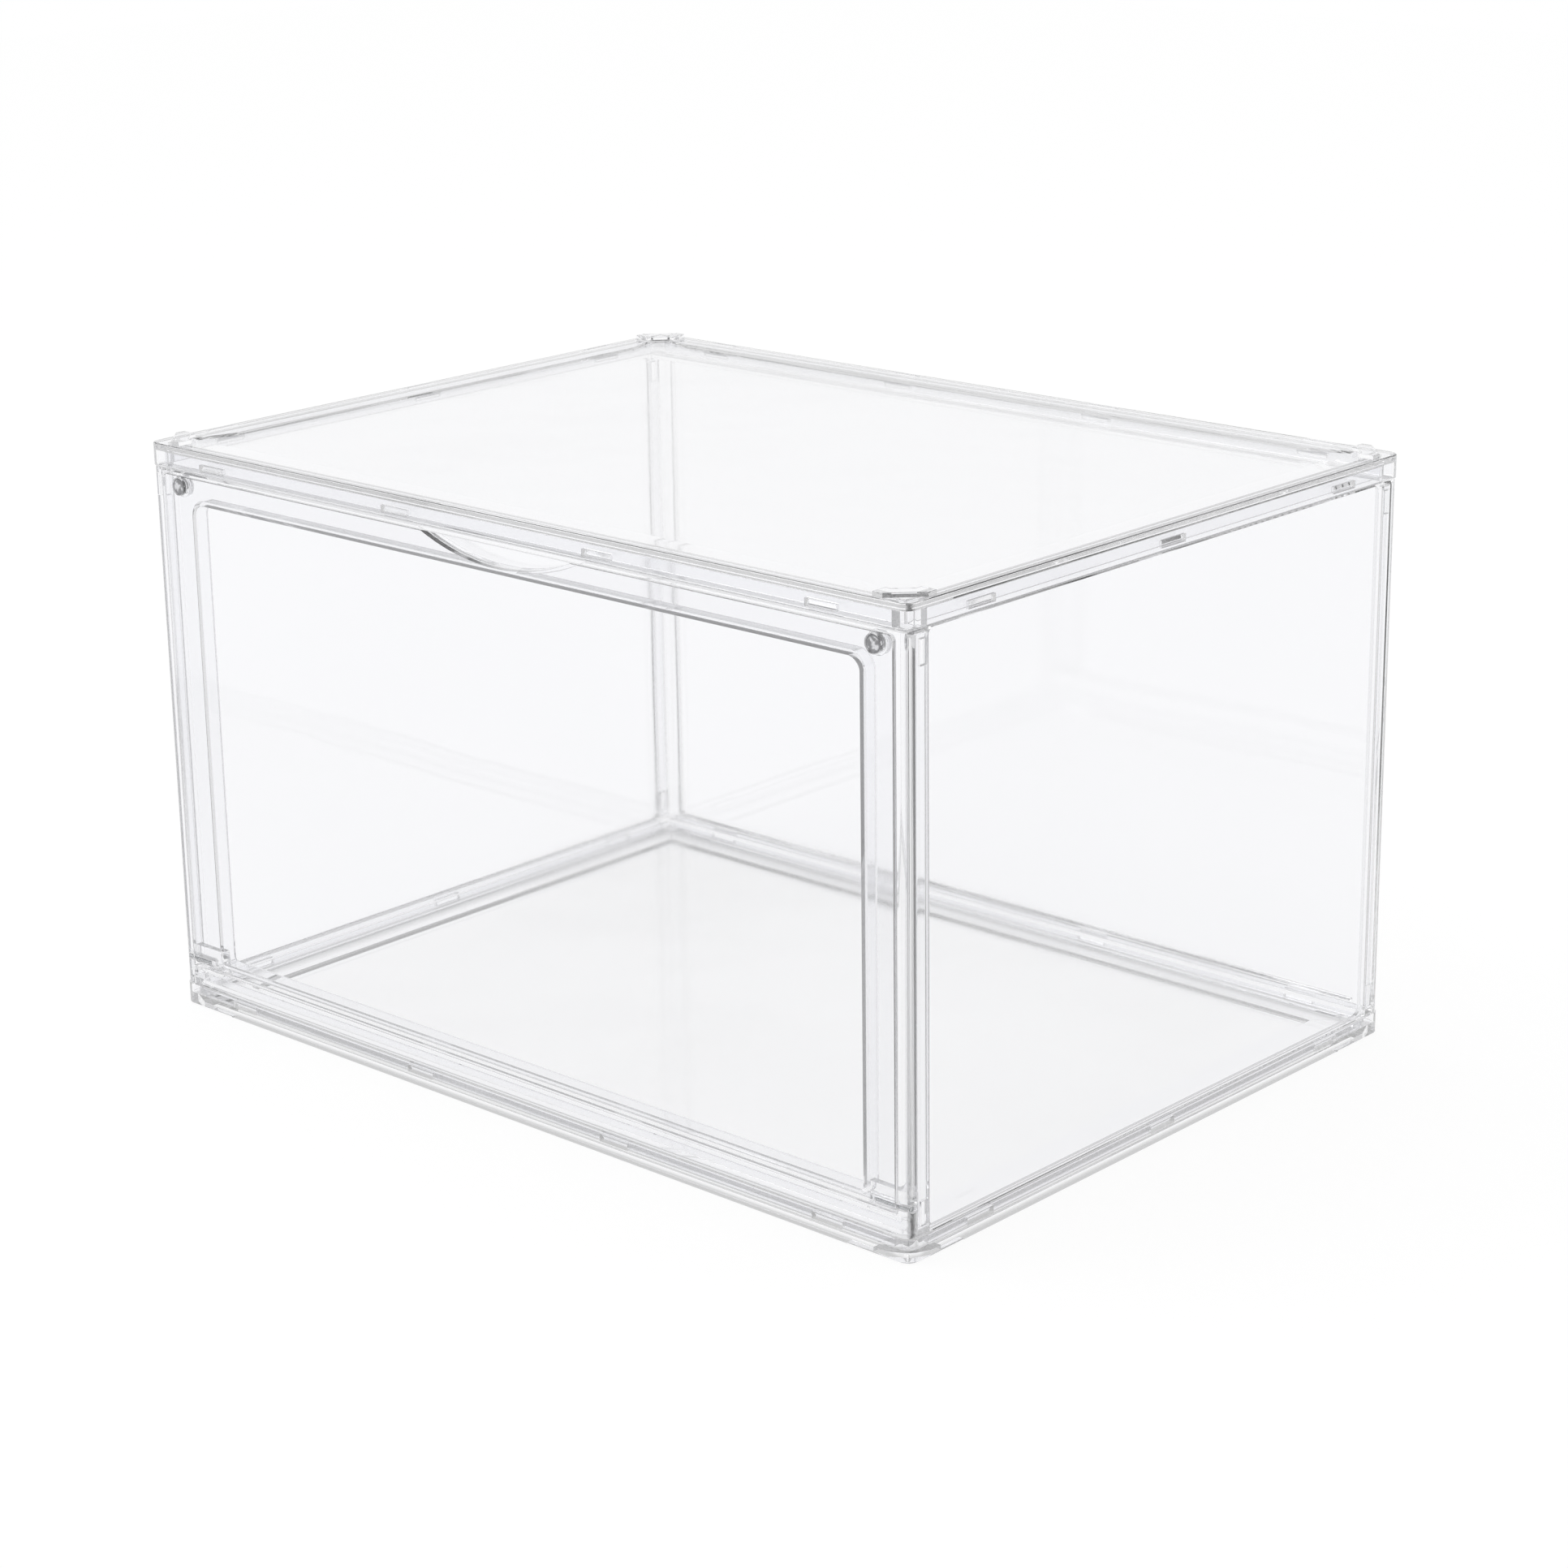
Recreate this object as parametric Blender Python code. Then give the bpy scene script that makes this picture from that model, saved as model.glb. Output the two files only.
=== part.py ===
"""Stackable clear display case with a drop-front door held shut by magnets.

Run with: blender --background --python part.py

The case comes flat and clips together. A base tray and a lid, each with a skirt, hold four
walls by tongues that stand in a channel behind the skirt. The front wall is an open frame, and
a flush door turns down out of it on two short pins.

Metres, +Z up. The origin is under the middle of the base, the door is at -Y.
"""
import math

import bmesh
import bpy
from mathutils import Matrix, Vector

# Whole case
CASE_WIDTH = 0.360
CASE_DEPTH = 0.265
CASE_HEIGHT = 0.216          # table to the lid's upper face, without the stacking pads
CORNER_RADIUS = 0.0045       # upright outer corners
SEAT_GAP = 0.0003            # between faces that rest on each other
REVEAL = 0.0004              # how far the skirts stand out past the walls

# Skirts of the base tray and the lid
SKIRT_HEIGHT = 0.0083
SKIRT_WALL = 0.0020
LIP_CHAMFER = 0.0003
OUTER_EDGE_ROUND = 0.0006
TONGUE_THICKNESS = 0.0024
KEEPER_WALL = 0.0016         # rib that closes the channel on its inner side
KEEPER_SHORT = 0.0007        # how much lower the rib is than the skirt

# Base tray
FOOT_HEIGHT = 0.0018
FOOT_WIDTH = 0.0054
FOOT_DRAFT = 0.0003
FLOOR_THICKNESS = 0.0024
FLOOR_BORDER = 0.0190
FLOOR_BORDER_STEP = 0.0012
STEP_SLOPE = 0.0015

# Lid, with a sunk pane that reaches out towards the corners
LID_THICKNESS = 0.0028
LID_BORDER = 0.0135
LID_PANE_DROP = 0.0008
EAR_START = 0.0300           # from the case's corner to where the border starts to narrow
EAR_END = 0.0138
EAR_BORDER = 0.0082          # width of the border at the corner

# Stacking pads on the lid, and the gaps in the foot that they stand in
PAD_LEG = 0.0155
PAD_INNER = 0.0078           # from the case's outer faces to the pad's inner edges
PAD_INNER_CUT = 0.0054
PAD_SET_IN = 0.0016
PAD_OUTER_CUT = 0.0099
PAD_GAP_SIDE = 0.0004
PAD_GAP_DEPTH = 0.0002       # how far the gap runs into the floor above the foot
RELIEF_LEG = 0.0270          # the foot's rim is a little shorter near the corners
RELIEF_HEIGHT = 0.0004

# Walls
PANE_THICKNESS = 0.0024
RETURN_DEPTH = 0.0093        # how far front and back wrap round the upright corners
SIDE_TONGUE_REACH = 0.0042   # how far a side wall reaches behind a return
PANE_LAND = 0.0004           # flat between the edge of a wall and the slope down to its pane
PANE_RADIUS = 0.0030
BACK_PANE_RADIUS = 0.0015
BACK_BORDER = 0.0090         # beside the back wall's pane
BACK_BORDER_STEP = 0.0021
FLANGE_THICKNESS = 0.0020
TONGUE_END_GAP = 0.0030      # past the corner rounding, at each end of a front or back tongue
TONGUE_ROOT = 0.0010         # how deep a tongue is sunk in its wall

# Door, its rebate in the frame and the opening behind it, from the case's outer faces
DOOR_THICKNESS = 0.0022
REBATE_SIDE = 0.0062
REBATE_TOP = 0.0104
REBATE_BOTTOM = 0.0159
DOOR_RADIUS = 0.0020
DOOR_EDGE_CHAMFER = 0.0003
OPENING_SIDE = 0.0210
OPENING_TOP = 0.0205
OPENING_BOTTOM = 0.0194
OPENING_RADIUS = 0.0050      # upper corners
OPENING_LOW_RADIUS = 0.0016

# Hinge
HINGE_SETBACK = 0.0002       # axis behind the door's inner face
KNUCKLE_RADIUS = 0.0022
KNUCKLE_LENGTH = 0.0112
PIN_RADIUS = 0.0010
PIN_CLEARANCE = 0.00025
PIN_REACH = 0.0090           # length inside the knuckle
PIN_SHY = 0.0010             # pin's outer end below the case's side
HINGE_BLOCK_WALL = 0.0024

# Finger notch in the door and the scoop behind it
NOTCH_WIDTH = 0.0710
NOTCH_DEPTH = 0.0073
NOTCH_FILLET = 0.0015
SCOOP_DEPTH = 0.0030
SCOOP_WALL = 0.0012
SCOOP_TOP = 0.0010           # land between the scoop and the rebate's upper edge

# Magnets
MAGNET_RADIUS = 0.0030
MAGNET_SIDE = 0.0147
MAGNET_TOP = 0.0147
DOOR_MAGNET_THICKNESS = 0.00125
FRAME_MAGNET_THICKNESS = 0.0029
MAGNET_SHY = 0.00005         # face of a magnet below the face that it is set in
MAGNET_CUP_WALL = 0.0011

# Snap tabs on the tongues, one row along each skirt
TAB_WIDTH = 0.0124
TAB_HEIGHT = 0.0020
TAB_REACH = 0.0015
TAB_LEVEL = 0.0059           # from the case's upper or lower face
TAB_END = 0.0350             # middle of the last tab, from the case's outer face
TABS_WIDE = 4
TABS_DEEP = 3

# Hooks on the upright tongues, in windows of the corner returns
HOOK_WIDTH = 0.0024
HOOK_HEIGHT = 0.0080
HOOK_END = 0.0075            # middle of a hook, from the wall's upper or lower edge

# Facets
CORNER_STEPS = 8
ROUND_STEPS = 32
NOTCH_STEPS = 28

# Places worked out from the sizes above
HALF_WIDTH = CASE_WIDTH / 2
HALF_DEPTH = CASE_DEPTH / 2
WALL_X = HALF_WIDTH - REVEAL
WALL_Y = HALF_DEPTH - REVEAL
WALL_LOW = SKIRT_HEIGHT + SEAT_GAP
WALL_HIGH = CASE_HEIGHT - WALL_LOW
RETURN_WALL = SKIRT_WALL - REVEAL
RETURN_END = WALL_Y - RETURN_DEPTH
TONGUE_OUTER = SKIRT_WALL + SEAT_GAP
TONGUE_INNER = TONGUE_OUTER + TONGUE_THICKNESS
KEEPER_OUTER = TONGUE_INNER + SEAT_GAP
KEEPER_INNER = KEEPER_OUTER + KEEPER_WALL
KEEPER_HEIGHT = SKIRT_HEIGHT - KEEPER_SHORT
FLOOR_TOP = FOOT_HEIGHT + FLOOR_THICKNESS
TONGUE_LOW = FLOOR_TOP + SEAT_GAP
TONGUE_HIGH = CASE_HEIGHT - LID_THICKNESS - SEAT_GAP
PAD_HEIGHT = FOOT_HEIGHT - SEAT_GAP
WALL_RADIUS = CORNER_RADIUS - REVEAL

DOOR_FRONT = -WALL_Y
DOOR_BACK = DOOR_FRONT + DOOR_THICKNESS
REBATE_BACK = DOOR_BACK + SEAT_GAP
FLANGE_BACK = REBATE_BACK + FLANGE_THICKNESS
REBATE_X = HALF_WIDTH - REBATE_SIDE
REBATE_HIGH = CASE_HEIGHT - REBATE_TOP
OPENING_X = HALF_WIDTH - OPENING_SIDE
OPENING_HIGH = CASE_HEIGHT - OPENING_TOP
DOOR_X = REBATE_X - SEAT_GAP
DOOR_HIGH = REBATE_HIGH - SEAT_GAP
HINGE_Y = DOOR_BACK + HINGE_SETBACK
HINGE_Z = REBATE_BOTTOM + SEAT_GAP + (HINGE_Y - DOOR_FRONT)
MAGNET_X = HALF_WIDTH - MAGNET_SIDE
MAGNET_Z = CASE_HEIGHT - MAGNET_TOP
NOTCH_RADIUS = ((NOTCH_WIDTH / 2) ** 2 + NOTCH_DEPTH ** 2) / (2 * NOTCH_DEPTH)
NOTCH_CENTRE_Z = DOOR_HIGH - NOTCH_DEPTH + NOTCH_RADIUS
CLEAR_CUT = 0.0020           # how far a cutter runs past the face that it opens
SHARP = 0.00005              # radius of a corner that looks square


def clear_scene():
    """Empty the scene that the script starts in."""
    for obj in list(bpy.data.objects):
        bpy.data.objects.remove(obj, do_unlink=True)


def make_material(name, colour, roughness, metallic, alpha=1.0):
    """Principled material with plain values."""
    material = bpy.data.materials.new(name)
    material.use_nodes = True
    shader = material.node_tree.nodes["Principled BSDF"]
    shader.inputs["Base Color"].default_value = (*colour, 1.0)
    shader.inputs["Roughness"].default_value = roughness
    shader.inputs["Metallic"].default_value = metallic
    shader.inputs["Alpha"].default_value = alpha
    material.diffuse_color = (*colour, alpha)
    return material


# Outlines

def arc(centre, radius, start, end, steps):
    """Points of an arc in a plane, both ends included, angles in degrees."""
    points = []
    for i in range(steps + 1):
        angle = math.radians(start + (end - start) * i / steps)
        points.append((centre[0] + radius * math.cos(angle), centre[1] + radius * math.sin(angle)))
    return points


def rounded_rectangle(low, high, radius, low_radius=None):
    """Outline of a rectangle with round corners, anticlockwise from its lower right corner.

    The two lower corners can have a radius of their own.
    """
    upper = max(radius, SHARP)
    lower = upper if low_radius is None else max(low_radius, SHARP)
    points = arc((high[0] - lower, low[1] + lower), lower, -90, 0, CORNER_STEPS)
    points += arc((high[0] - upper, high[1] - upper), upper, 0, 90, CORNER_STEPS)
    points += arc((low[0] + upper, high[1] - upper), upper, 90, 180, CORNER_STEPS)
    points += arc((low[0] + lower, low[1] + lower), lower, 180, 270, CORNER_STEPS)
    return points


# Solids

def add_rings(bm, rings, closed=False):
    """Bridge rings of points that have the same count, and cap the ends unless they close up."""
    loops = [[bm.verts.new(point) for point in ring] for ring in rings]
    pairs = list(zip(loops, loops[1:]))
    if closed:
        pairs.append((loops[-1], loops[0]))
    for first, second in pairs:
        for i, vert in enumerate(first):
            following = (i + 1) % len(first)
            bm.faces.new((vert, first[following], second[following], second[i]))
    if not closed:
        bm.faces.new(list(reversed(loops[0])))
        bm.faces.new(loops[-1])


def add_prism(bm, outline, low, high, to_space):
    """Extrude a flat outline from low to high; to_space turns (a, b, level) into a point."""
    add_rings(bm, [[to_space(a, b, level) for a, b in outline] for level in (low, high)])


def along_x(a, b, level):
    return (level, a, b)


def along_y(a, b, level):
    return (a, level, b)


def along_z(a, b, level):
    return (a, b, level)


def add_box(bm, low, high):
    """Box between two opposite corners, given in any order."""
    outline = [(low[0], low[1]), (high[0], low[1]), (high[0], high[1]), (low[0], high[1])]
    add_prism(bm, outline, low[2], high[2], along_z)


def add_turned(bm, centre, profile, to_space):
    """Round form along one axis, from its radius at each level."""
    rings = []
    for radius, level in profile:
        outline = arc(centre, radius, 0, 360 - 360 / ROUND_STEPS, ROUND_STEPS - 1)
        rings.append([to_space(a, b, level) for a, b in outline])
    add_rings(bm, rings)


def add_rod(bm, centre, radius, low, high, to_space):
    """Round bar along one axis."""
    add_turned(bm, centre, [(radius, low), (radius, high)], to_space)


def make_object(name, bm, material, pivot=None):
    """Turn a bmesh into an object, with its origin at the pivot's empty if it has one."""
    bmesh.ops.recalc_face_normals(bm, faces=bm.faces)
    mesh = bpy.data.meshes.new(name)
    bm.to_mesh(mesh)
    bm.free()
    obj = bpy.data.objects.new(name, mesh)
    bpy.context.collection.objects.link(obj)
    if material:
        mesh.materials.append(material)
    if pivot:
        mesh.transform(Matrix.Translation(-pivot.location))
        obj.parent = pivot
    return obj


def boolean(target, bm, operation, pivot=None):
    """Join a helper solid to the target, or cut it out."""
    name = f"{target.name}_{operation.lower()}_{len(target.modifiers)}"
    helper = make_object(name, bm, None, pivot)
    helper.hide_render = True
    helper.display_type = "WIRE"
    modifier = target.modifiers.new(name, "BOOLEAN")
    modifier.operation = operation
    modifier.object = helper


def finish(obj, smooth_angle=35.0):
    """Shade the round stretches smooth and keep the real edges."""
    obj.data.shade_smooth()
    obj.data.set_sharp_from_angle(angle=math.radians(smooth_angle))


# Base tray and lid

def tray_ring(inset, level):
    """Outline of the case at a distance in from its outer faces."""
    low = (-HALF_WIDTH + inset, -HALF_DEPTH + inset)
    high = (HALF_WIDTH - inset, HALF_DEPTH - inset)
    return [(x, y, level) for x, y in rounded_rectangle(low, high, CORNER_RADIUS - inset)]


def skirt_profile(level_of, channel_end, plate_face):
    """Rings up the skirt's outside, down into the channel and over the keeper rib."""
    return [
        tray_ring(OUTER_EDGE_ROUND, level_of(0)),
        tray_ring(OUTER_EDGE_ROUND * 0.3, level_of(OUTER_EDGE_ROUND * 0.3)),
        tray_ring(0, level_of(OUTER_EDGE_ROUND)),
        tray_ring(0, level_of(SKIRT_HEIGHT - LIP_CHAMFER)),
        tray_ring(LIP_CHAMFER, level_of(SKIRT_HEIGHT)),
        tray_ring(SKIRT_WALL, level_of(SKIRT_HEIGHT)),
        tray_ring(SKIRT_WALL, level_of(channel_end)),
        tray_ring(KEEPER_OUTER, level_of(channel_end)),
        tray_ring(KEEPER_OUTER, level_of(KEEPER_HEIGHT)),
        tray_ring(KEEPER_INNER, level_of(KEEPER_HEIGHT)),
        tray_ring(KEEPER_INNER, level_of(plate_face)),
    ]


def in_corner(sign_x, sign_y, outline):
    """Turn distances in from the two outer faces of a corner into X and Y."""
    return [(sign_x * (HALF_WIDTH - a), sign_y * (HALF_DEPTH - b)) for a, b in outline]


def pad_outline(sign_x, sign_y, grow=0.0):
    """L-shaped outline in a corner of the case with both of its elbows cut across."""
    inner = PAD_INNER + grow
    outer = PAD_SET_IN - grow
    leg = PAD_LEG + grow
    inner_cut = PAD_INNER + PAD_INNER_CUT
    outer_cut = PAD_SET_IN + PAD_OUTER_CUT - grow * 2
    outline = [(leg, outer), (leg, inner), (inner_cut + grow, inner), (inner, inner_cut + grow),
               (inner, leg), (outer, leg), (outer, outer_cut), (outer_cut, outer)]
    return in_corner(sign_x, sign_y, outline)


def relief_outline(sign_x, sign_y):
    """Strip along the foot's rim on both sides of a corner."""
    outline = [(RELIEF_LEG, -CLEAR_CUT), (RELIEF_LEG, FOOT_WIDTH + CLEAR_CUT),
               (FOOT_WIDTH + CLEAR_CUT, FOOT_WIDTH + CLEAR_CUT), (FOOT_WIDTH + CLEAR_CUT, RELIEF_LEG),
               (-CLEAR_CUT, RELIEF_LEG), (-CLEAR_CUT, -CLEAR_CUT)]
    return in_corner(sign_x, sign_y, outline)


def pane_ring(shrink, level):
    """Outline of the lid's sunk pane, whose border gets narrower towards each corner."""
    quarter = [(EAR_START, LID_BORDER + shrink), (EAR_END + shrink, EAR_BORDER + shrink),
               (EAR_BORDER + shrink, EAR_END + shrink), (LID_BORDER + shrink, EAR_START)]
    ring = []
    for sign_x, sign_y, backwards in ((1, -1, False), (1, 1, True), (-1, 1, False), (-1, -1, True)):
        points = in_corner(sign_x, sign_y, quarter)
        ring += reversed(points) if backwards else points
    return [(x, y, level) for x, y in ring]


def corners():
    """Signs of X and Y at the four upright corners."""
    return [(sign_x, sign_y) for sign_x in (-1, 1) for sign_y in (-1, 1)]


def spread(half_length, count):
    """Middles of the tabs along one wall."""
    end = half_length - TAB_END
    return [-end + 2 * end * i / (count - 1) for i in range(count)]


def skirt_windows(bm, level_of):
    """Windows through the skirt that the snap tabs click into."""
    half_window = TAB_WIDTH / 2 + SEAT_GAP
    low = level_of(TAB_LEVEL - TAB_HEIGHT / 2 - SEAT_GAP)
    high = level_of(TAB_LEVEL + TAB_HEIGHT / 2 + SEAT_GAP)
    inner = SKIRT_WALL + SEAT_GAP
    for sign in (-1, 1):
        for middle in spread(HALF_WIDTH, TABS_WIDE):
            add_box(bm, (middle - half_window, sign * (HALF_DEPTH - inner), low),
                    (middle + half_window, sign * (HALF_DEPTH + CLEAR_CUT), high))
        for middle in spread(HALF_DEPTH, TABS_DEEP):
            add_box(bm, (sign * (HALF_WIDTH - inner), middle - half_window, low),
                    (sign * (HALF_WIDTH + CLEAR_CUT), middle + half_window, high))


def base_tray(material):
    """Floor with a foot all round, a skirt, the channel for the walls and a sunk floor pane."""
    def level_of(height):
        return height

    border_top = FLOOR_TOP + FLOOR_BORDER_STEP
    bm = bmesh.new()
    rings = [tray_ring(FOOT_WIDTH + FOOT_DRAFT, FOOT_HEIGHT), tray_ring(FOOT_WIDTH, 0)]
    rings += skirt_profile(level_of, FLOOR_TOP, border_top)
    rings += [tray_ring(FLOOR_BORDER, border_top), tray_ring(FLOOR_BORDER + STEP_SLOPE, FLOOR_TOP)]
    add_rings(bm, rings)
    tray = make_object("base_tray", bm, material)

    cuts = bmesh.new()
    reliefs = bmesh.new()
    skirt_windows(cuts, level_of)
    for sign_x, sign_y in corners():
        add_prism(cuts, pad_outline(sign_x, sign_y, PAD_GAP_SIDE), -CLEAR_CUT,
                  FOOT_HEIGHT + PAD_GAP_DEPTH, along_z)
        add_prism(reliefs, relief_outline(sign_x, sign_y), -CLEAR_CUT, RELIEF_HEIGHT, along_z)
    boolean(tray, cuts, "DIFFERENCE")
    boolean(tray, reliefs, "DIFFERENCE")
    finish(tray)


def lid(material):
    """Cover with a skirt, the channel for the walls, a sunk pane and four stacking pads."""
    def level_of(height):
        return CASE_HEIGHT - height

    bm = bmesh.new()
    add_rings(bm, skirt_profile(level_of, LID_THICKNESS, LID_THICKNESS))
    cover = make_object("lid", bm, material)

    pane = bmesh.new()
    add_rings(pane, [pane_ring(STEP_SLOPE, level_of(LID_PANE_DROP)), pane_ring(0, level_of(0)),
                     pane_ring(0, level_of(-CLEAR_CUT))])
    boolean(cover, pane, "DIFFERENCE")

    pads = bmesh.new()
    for sign_x, sign_y in corners():
        add_prism(pads, pad_outline(sign_x, sign_y), level_of(LID_THICKNESS / 2),
                  CASE_HEIGHT + PAD_HEIGHT, along_z)
    boolean(cover, pads, "UNION")

    windows = bmesh.new()
    skirt_windows(windows, level_of)
    boolean(cover, windows, "DIFFERENCE")
    finish(cover)


# Tongues and tabs

def add_tab(bm, middle, outward_face, sign, level, catch, across):
    """Wedge on a tongue: flat where it catches the skirt's window, sloping where it slides in.

    catch is +1 where the flat face looks up and -1 where it looks down; across places a point
    (along the wall, outward, level).
    """
    flat = level + catch * TAB_HEIGHT / 2
    thin = level - catch * TAB_HEIGHT / 2
    root = outward_face - sign * TONGUE_THICKNESS / 2
    tip = outward_face + sign * TAB_REACH
    heel = outward_face + sign * TAB_REACH * 0.25
    wedge = [(root, flat), (tip, flat), (tip, flat - catch * TAB_HEIGHT * 0.3), (heel, thin), (root, thin)]
    ends = (middle - TAB_WIDTH / 2, middle + TAB_WIDTH / 2)
    add_rings(bm, [[across(end, outward, z) for outward, z in wedge] for end in ends])


def add_wall_tongues(bm, sign):
    """Upper and lower tongue of the front or back wall, with their snap tabs."""
    half_length = WALL_X - WALL_RADIUS - TONGUE_END_GAP
    outer = sign * (HALF_DEPTH - TONGUE_OUTER)
    inner = sign * (HALF_DEPTH - TONGUE_INNER)
    add_box(bm, (-half_length, inner, WALL_HIGH - TONGUE_ROOT), (half_length, outer, TONGUE_HIGH))
    add_box(bm, (-half_length, inner, TONGUE_LOW), (half_length, outer, WALL_LOW + TONGUE_ROOT))


def add_wall_tabs(bm, sign):
    """Snap tabs on both tongues of the front or back wall."""
    def across(along, outward, level):
        return (along, outward, level)

    face = sign * (HALF_DEPTH - TONGUE_OUTER)
    for middle in spread(HALF_WIDTH, TABS_WIDE):
        add_tab(bm, middle, face, sign, CASE_HEIGHT - TAB_LEVEL, -1, across)
        add_tab(bm, middle, face, sign, TAB_LEVEL, 1, across)


def hook_levels():
    """Middles of the hooks on an upright tongue."""
    return (WALL_LOW + HOOK_END, WALL_HIGH - HOOK_END)


def hook_middle():
    """Distance of the hooks from the middle of the case, along a side wall."""
    return RETURN_END + SIDE_TONGUE_REACH / 2


def return_windows(bm, sign_y):
    """Windows in the two corner returns of the front or back wall, for the side walls' hooks."""
    half_wide = HOOK_WIDTH / 2 + SEAT_GAP
    half_high = HOOK_HEIGHT / 2 + SEAT_GAP
    for sign_x in (-1, 1):
        for level in hook_levels():
            add_box(bm, (sign_x * (WALL_X - RETURN_WALL - SEAT_GAP), sign_y * (hook_middle() - half_wide),
                         level - half_high),
                    (sign_x * (WALL_X + CLEAR_CUT), sign_y * (hook_middle() + half_wide), level + half_high))


# Walls

def wall_ring(half_width, low, high, radius, y, low_radius=None):
    """Upright outline of the front or back wall."""
    outline = rounded_rectangle((-half_width, low), (half_width, high), radius, low_radius)
    return [(x, y, z) for x, z in outline]


def return_rings(sign):
    """Rings round the outside of a return, from its free edge to the start of the flat face."""
    edge = OUTER_EDGE_ROUND
    rings = [wall_ring(WALL_X, WALL_LOW, WALL_HIGH, edge, sign * RETURN_END)]
    bend = arc((WALL_X - WALL_RADIUS, WALL_Y - WALL_RADIUS), WALL_RADIUS, 0, 90, CORNER_STEPS)
    rings += [wall_ring(x, WALL_LOW, WALL_HIGH, edge, sign * y) for x, y in bend]
    return rings


def back_panel(material):
    """Back wall: a pane in a thicker border, with returns round both upright corners."""
    wall_low = WALL_LOW + RETURN_WALL
    wall_high = WALL_HIGH - RETURN_WALL
    return_x = WALL_X - RETURN_WALL
    slope = STEP_SLOPE / 2
    pane_x = return_x - BACK_BORDER
    pane_low = wall_low + PANE_LAND + slope
    pane_high = wall_high - PANE_LAND - slope
    pane_face = WALL_Y - PANE_THICKNESS
    border_face = pane_face - BACK_BORDER_STEP
    bm = bmesh.new()
    rings = [
        wall_ring(pane_x, pane_low, pane_high, BACK_PANE_RADIUS, pane_face),
        wall_ring(pane_x + slope, pane_low - slope, pane_high + slope, BACK_PANE_RADIUS, border_face),
        wall_ring(return_x, wall_low, wall_high, OUTER_EDGE_ROUND, border_face),
        wall_ring(return_x, wall_low, wall_high, OUTER_EDGE_ROUND, RETURN_END),
    ]
    add_rings(bm, rings + return_rings(1))
    panel = make_object("back_panel", bm, material)
    for adder in (add_wall_tongues, add_wall_tabs):
        extra = bmesh.new()
        adder(extra, 1)
        boolean(panel, extra, "UNION")
    windows = bmesh.new()
    return_windows(windows, 1)
    boolean(panel, windows, "DIFFERENCE")
    finish(panel)


def side_panel(sign, name, material):
    """Side wall: a pane in a border, with a tongue on all four edges."""
    outer_face = sign * WALL_X
    tongue_outer = sign * (HALF_WIDTH - TONGUE_OUTER)
    tongue_inner = sign * (HALF_WIDTH - TONGUE_INNER)
    half_flush = RETURN_END - SEAT_GAP
    half_reach = RETURN_END + SIDE_TONGUE_REACH
    notch_low = WALL_LOW + RETURN_WALL + SEAT_GAP
    notch_high = WALL_HIGH - RETURN_WALL - SEAT_GAP
    half_narrow = half_flush - SEAT_GAP

    bm = bmesh.new()
    tongue = [
        (-half_narrow, TONGUE_LOW), (half_narrow, TONGUE_LOW), (half_narrow, notch_low),
        (half_reach, notch_low), (half_reach, notch_high), (half_narrow, notch_high),
        (half_narrow, TONGUE_HIGH), (-half_narrow, TONGUE_HIGH), (-half_narrow, notch_high),
        (-half_reach, notch_high), (-half_reach, notch_low), (-half_narrow, notch_low),
    ]
    add_prism(bm, tongue, tongue_inner, tongue_outer, along_x)
    panel = make_object(name, bm, material)

    skin = bmesh.new()
    chamfer = LIP_CHAMFER
    outline = rounded_rectangle((-half_flush, WALL_LOW), (half_flush, WALL_HIGH), OUTER_EDGE_ROUND)
    face = rounded_rectangle((-half_flush + chamfer, WALL_LOW + chamfer),
                             (half_flush - chamfer, WALL_HIGH - chamfer), OUTER_EDGE_ROUND)
    rings = [[(tongue_outer - sign * TONGUE_THICKNESS / 3, y, z) for y, z in outline],
             [(outer_face - sign * chamfer, y, z) for y, z in outline],
             [(outer_face, y, z) for y, z in face]]
    add_rings(skin, rings)
    boolean(panel, skin, "UNION")

    tabs = bmesh.new()

    def across(along, outward, level):
        return (outward, along, level)

    for middle in spread(HALF_DEPTH, TABS_DEEP):
        add_tab(tabs, middle, tongue_outer, sign, CASE_HEIGHT - TAB_LEVEL, -1, across)
        add_tab(tabs, middle, tongue_outer, sign, TAB_LEVEL, 1, across)
    for sign_y in (-1, 1):
        for level in hook_levels():
            add_box(tabs, (tongue_outer - sign * TONGUE_THICKNESS / 2,
                           sign_y * (hook_middle() - HOOK_WIDTH / 2), level - HOOK_HEIGHT / 2),
                    (outer_face - sign * SEAT_GAP, sign_y * (hook_middle() + HOOK_WIDTH / 2),
                     level + HOOK_HEIGHT / 2))
    boolean(panel, tabs, "UNION")

    pocket = bmesh.new()
    slope = STEP_SLOPE / 2
    low = WALL_LOW + PANE_LAND + slope
    high = WALL_HIGH - PANE_LAND - slope
    half_pane = half_flush - PANE_LAND - slope
    pane_inner = outer_face - sign * PANE_THICKNESS
    rings = []
    for depth, grow in ((pane_inner, 0), (tongue_inner - sign * CLEAR_CUT, slope)):
        outline = rounded_rectangle((-half_pane - grow, low - grow), (half_pane + grow, high + grow),
                                    PANE_RADIUS)
        rings.append([(depth, y, z) for y, z in outline])
    add_rings(pocket, rings)
    boolean(panel, pocket, "DIFFERENCE")
    finish(panel)


# Front frame

def segment_outline(radius, cut_level):
    """Part of a circle about the notch's centre that lies below a level."""
    reach = math.degrees(math.asin((NOTCH_CENTRE_Z - cut_level) / radius))
    return arc((0, NOTCH_CENTRE_Z), radius, 180 + reach, 360 - reach, NOTCH_STEPS)


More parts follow.
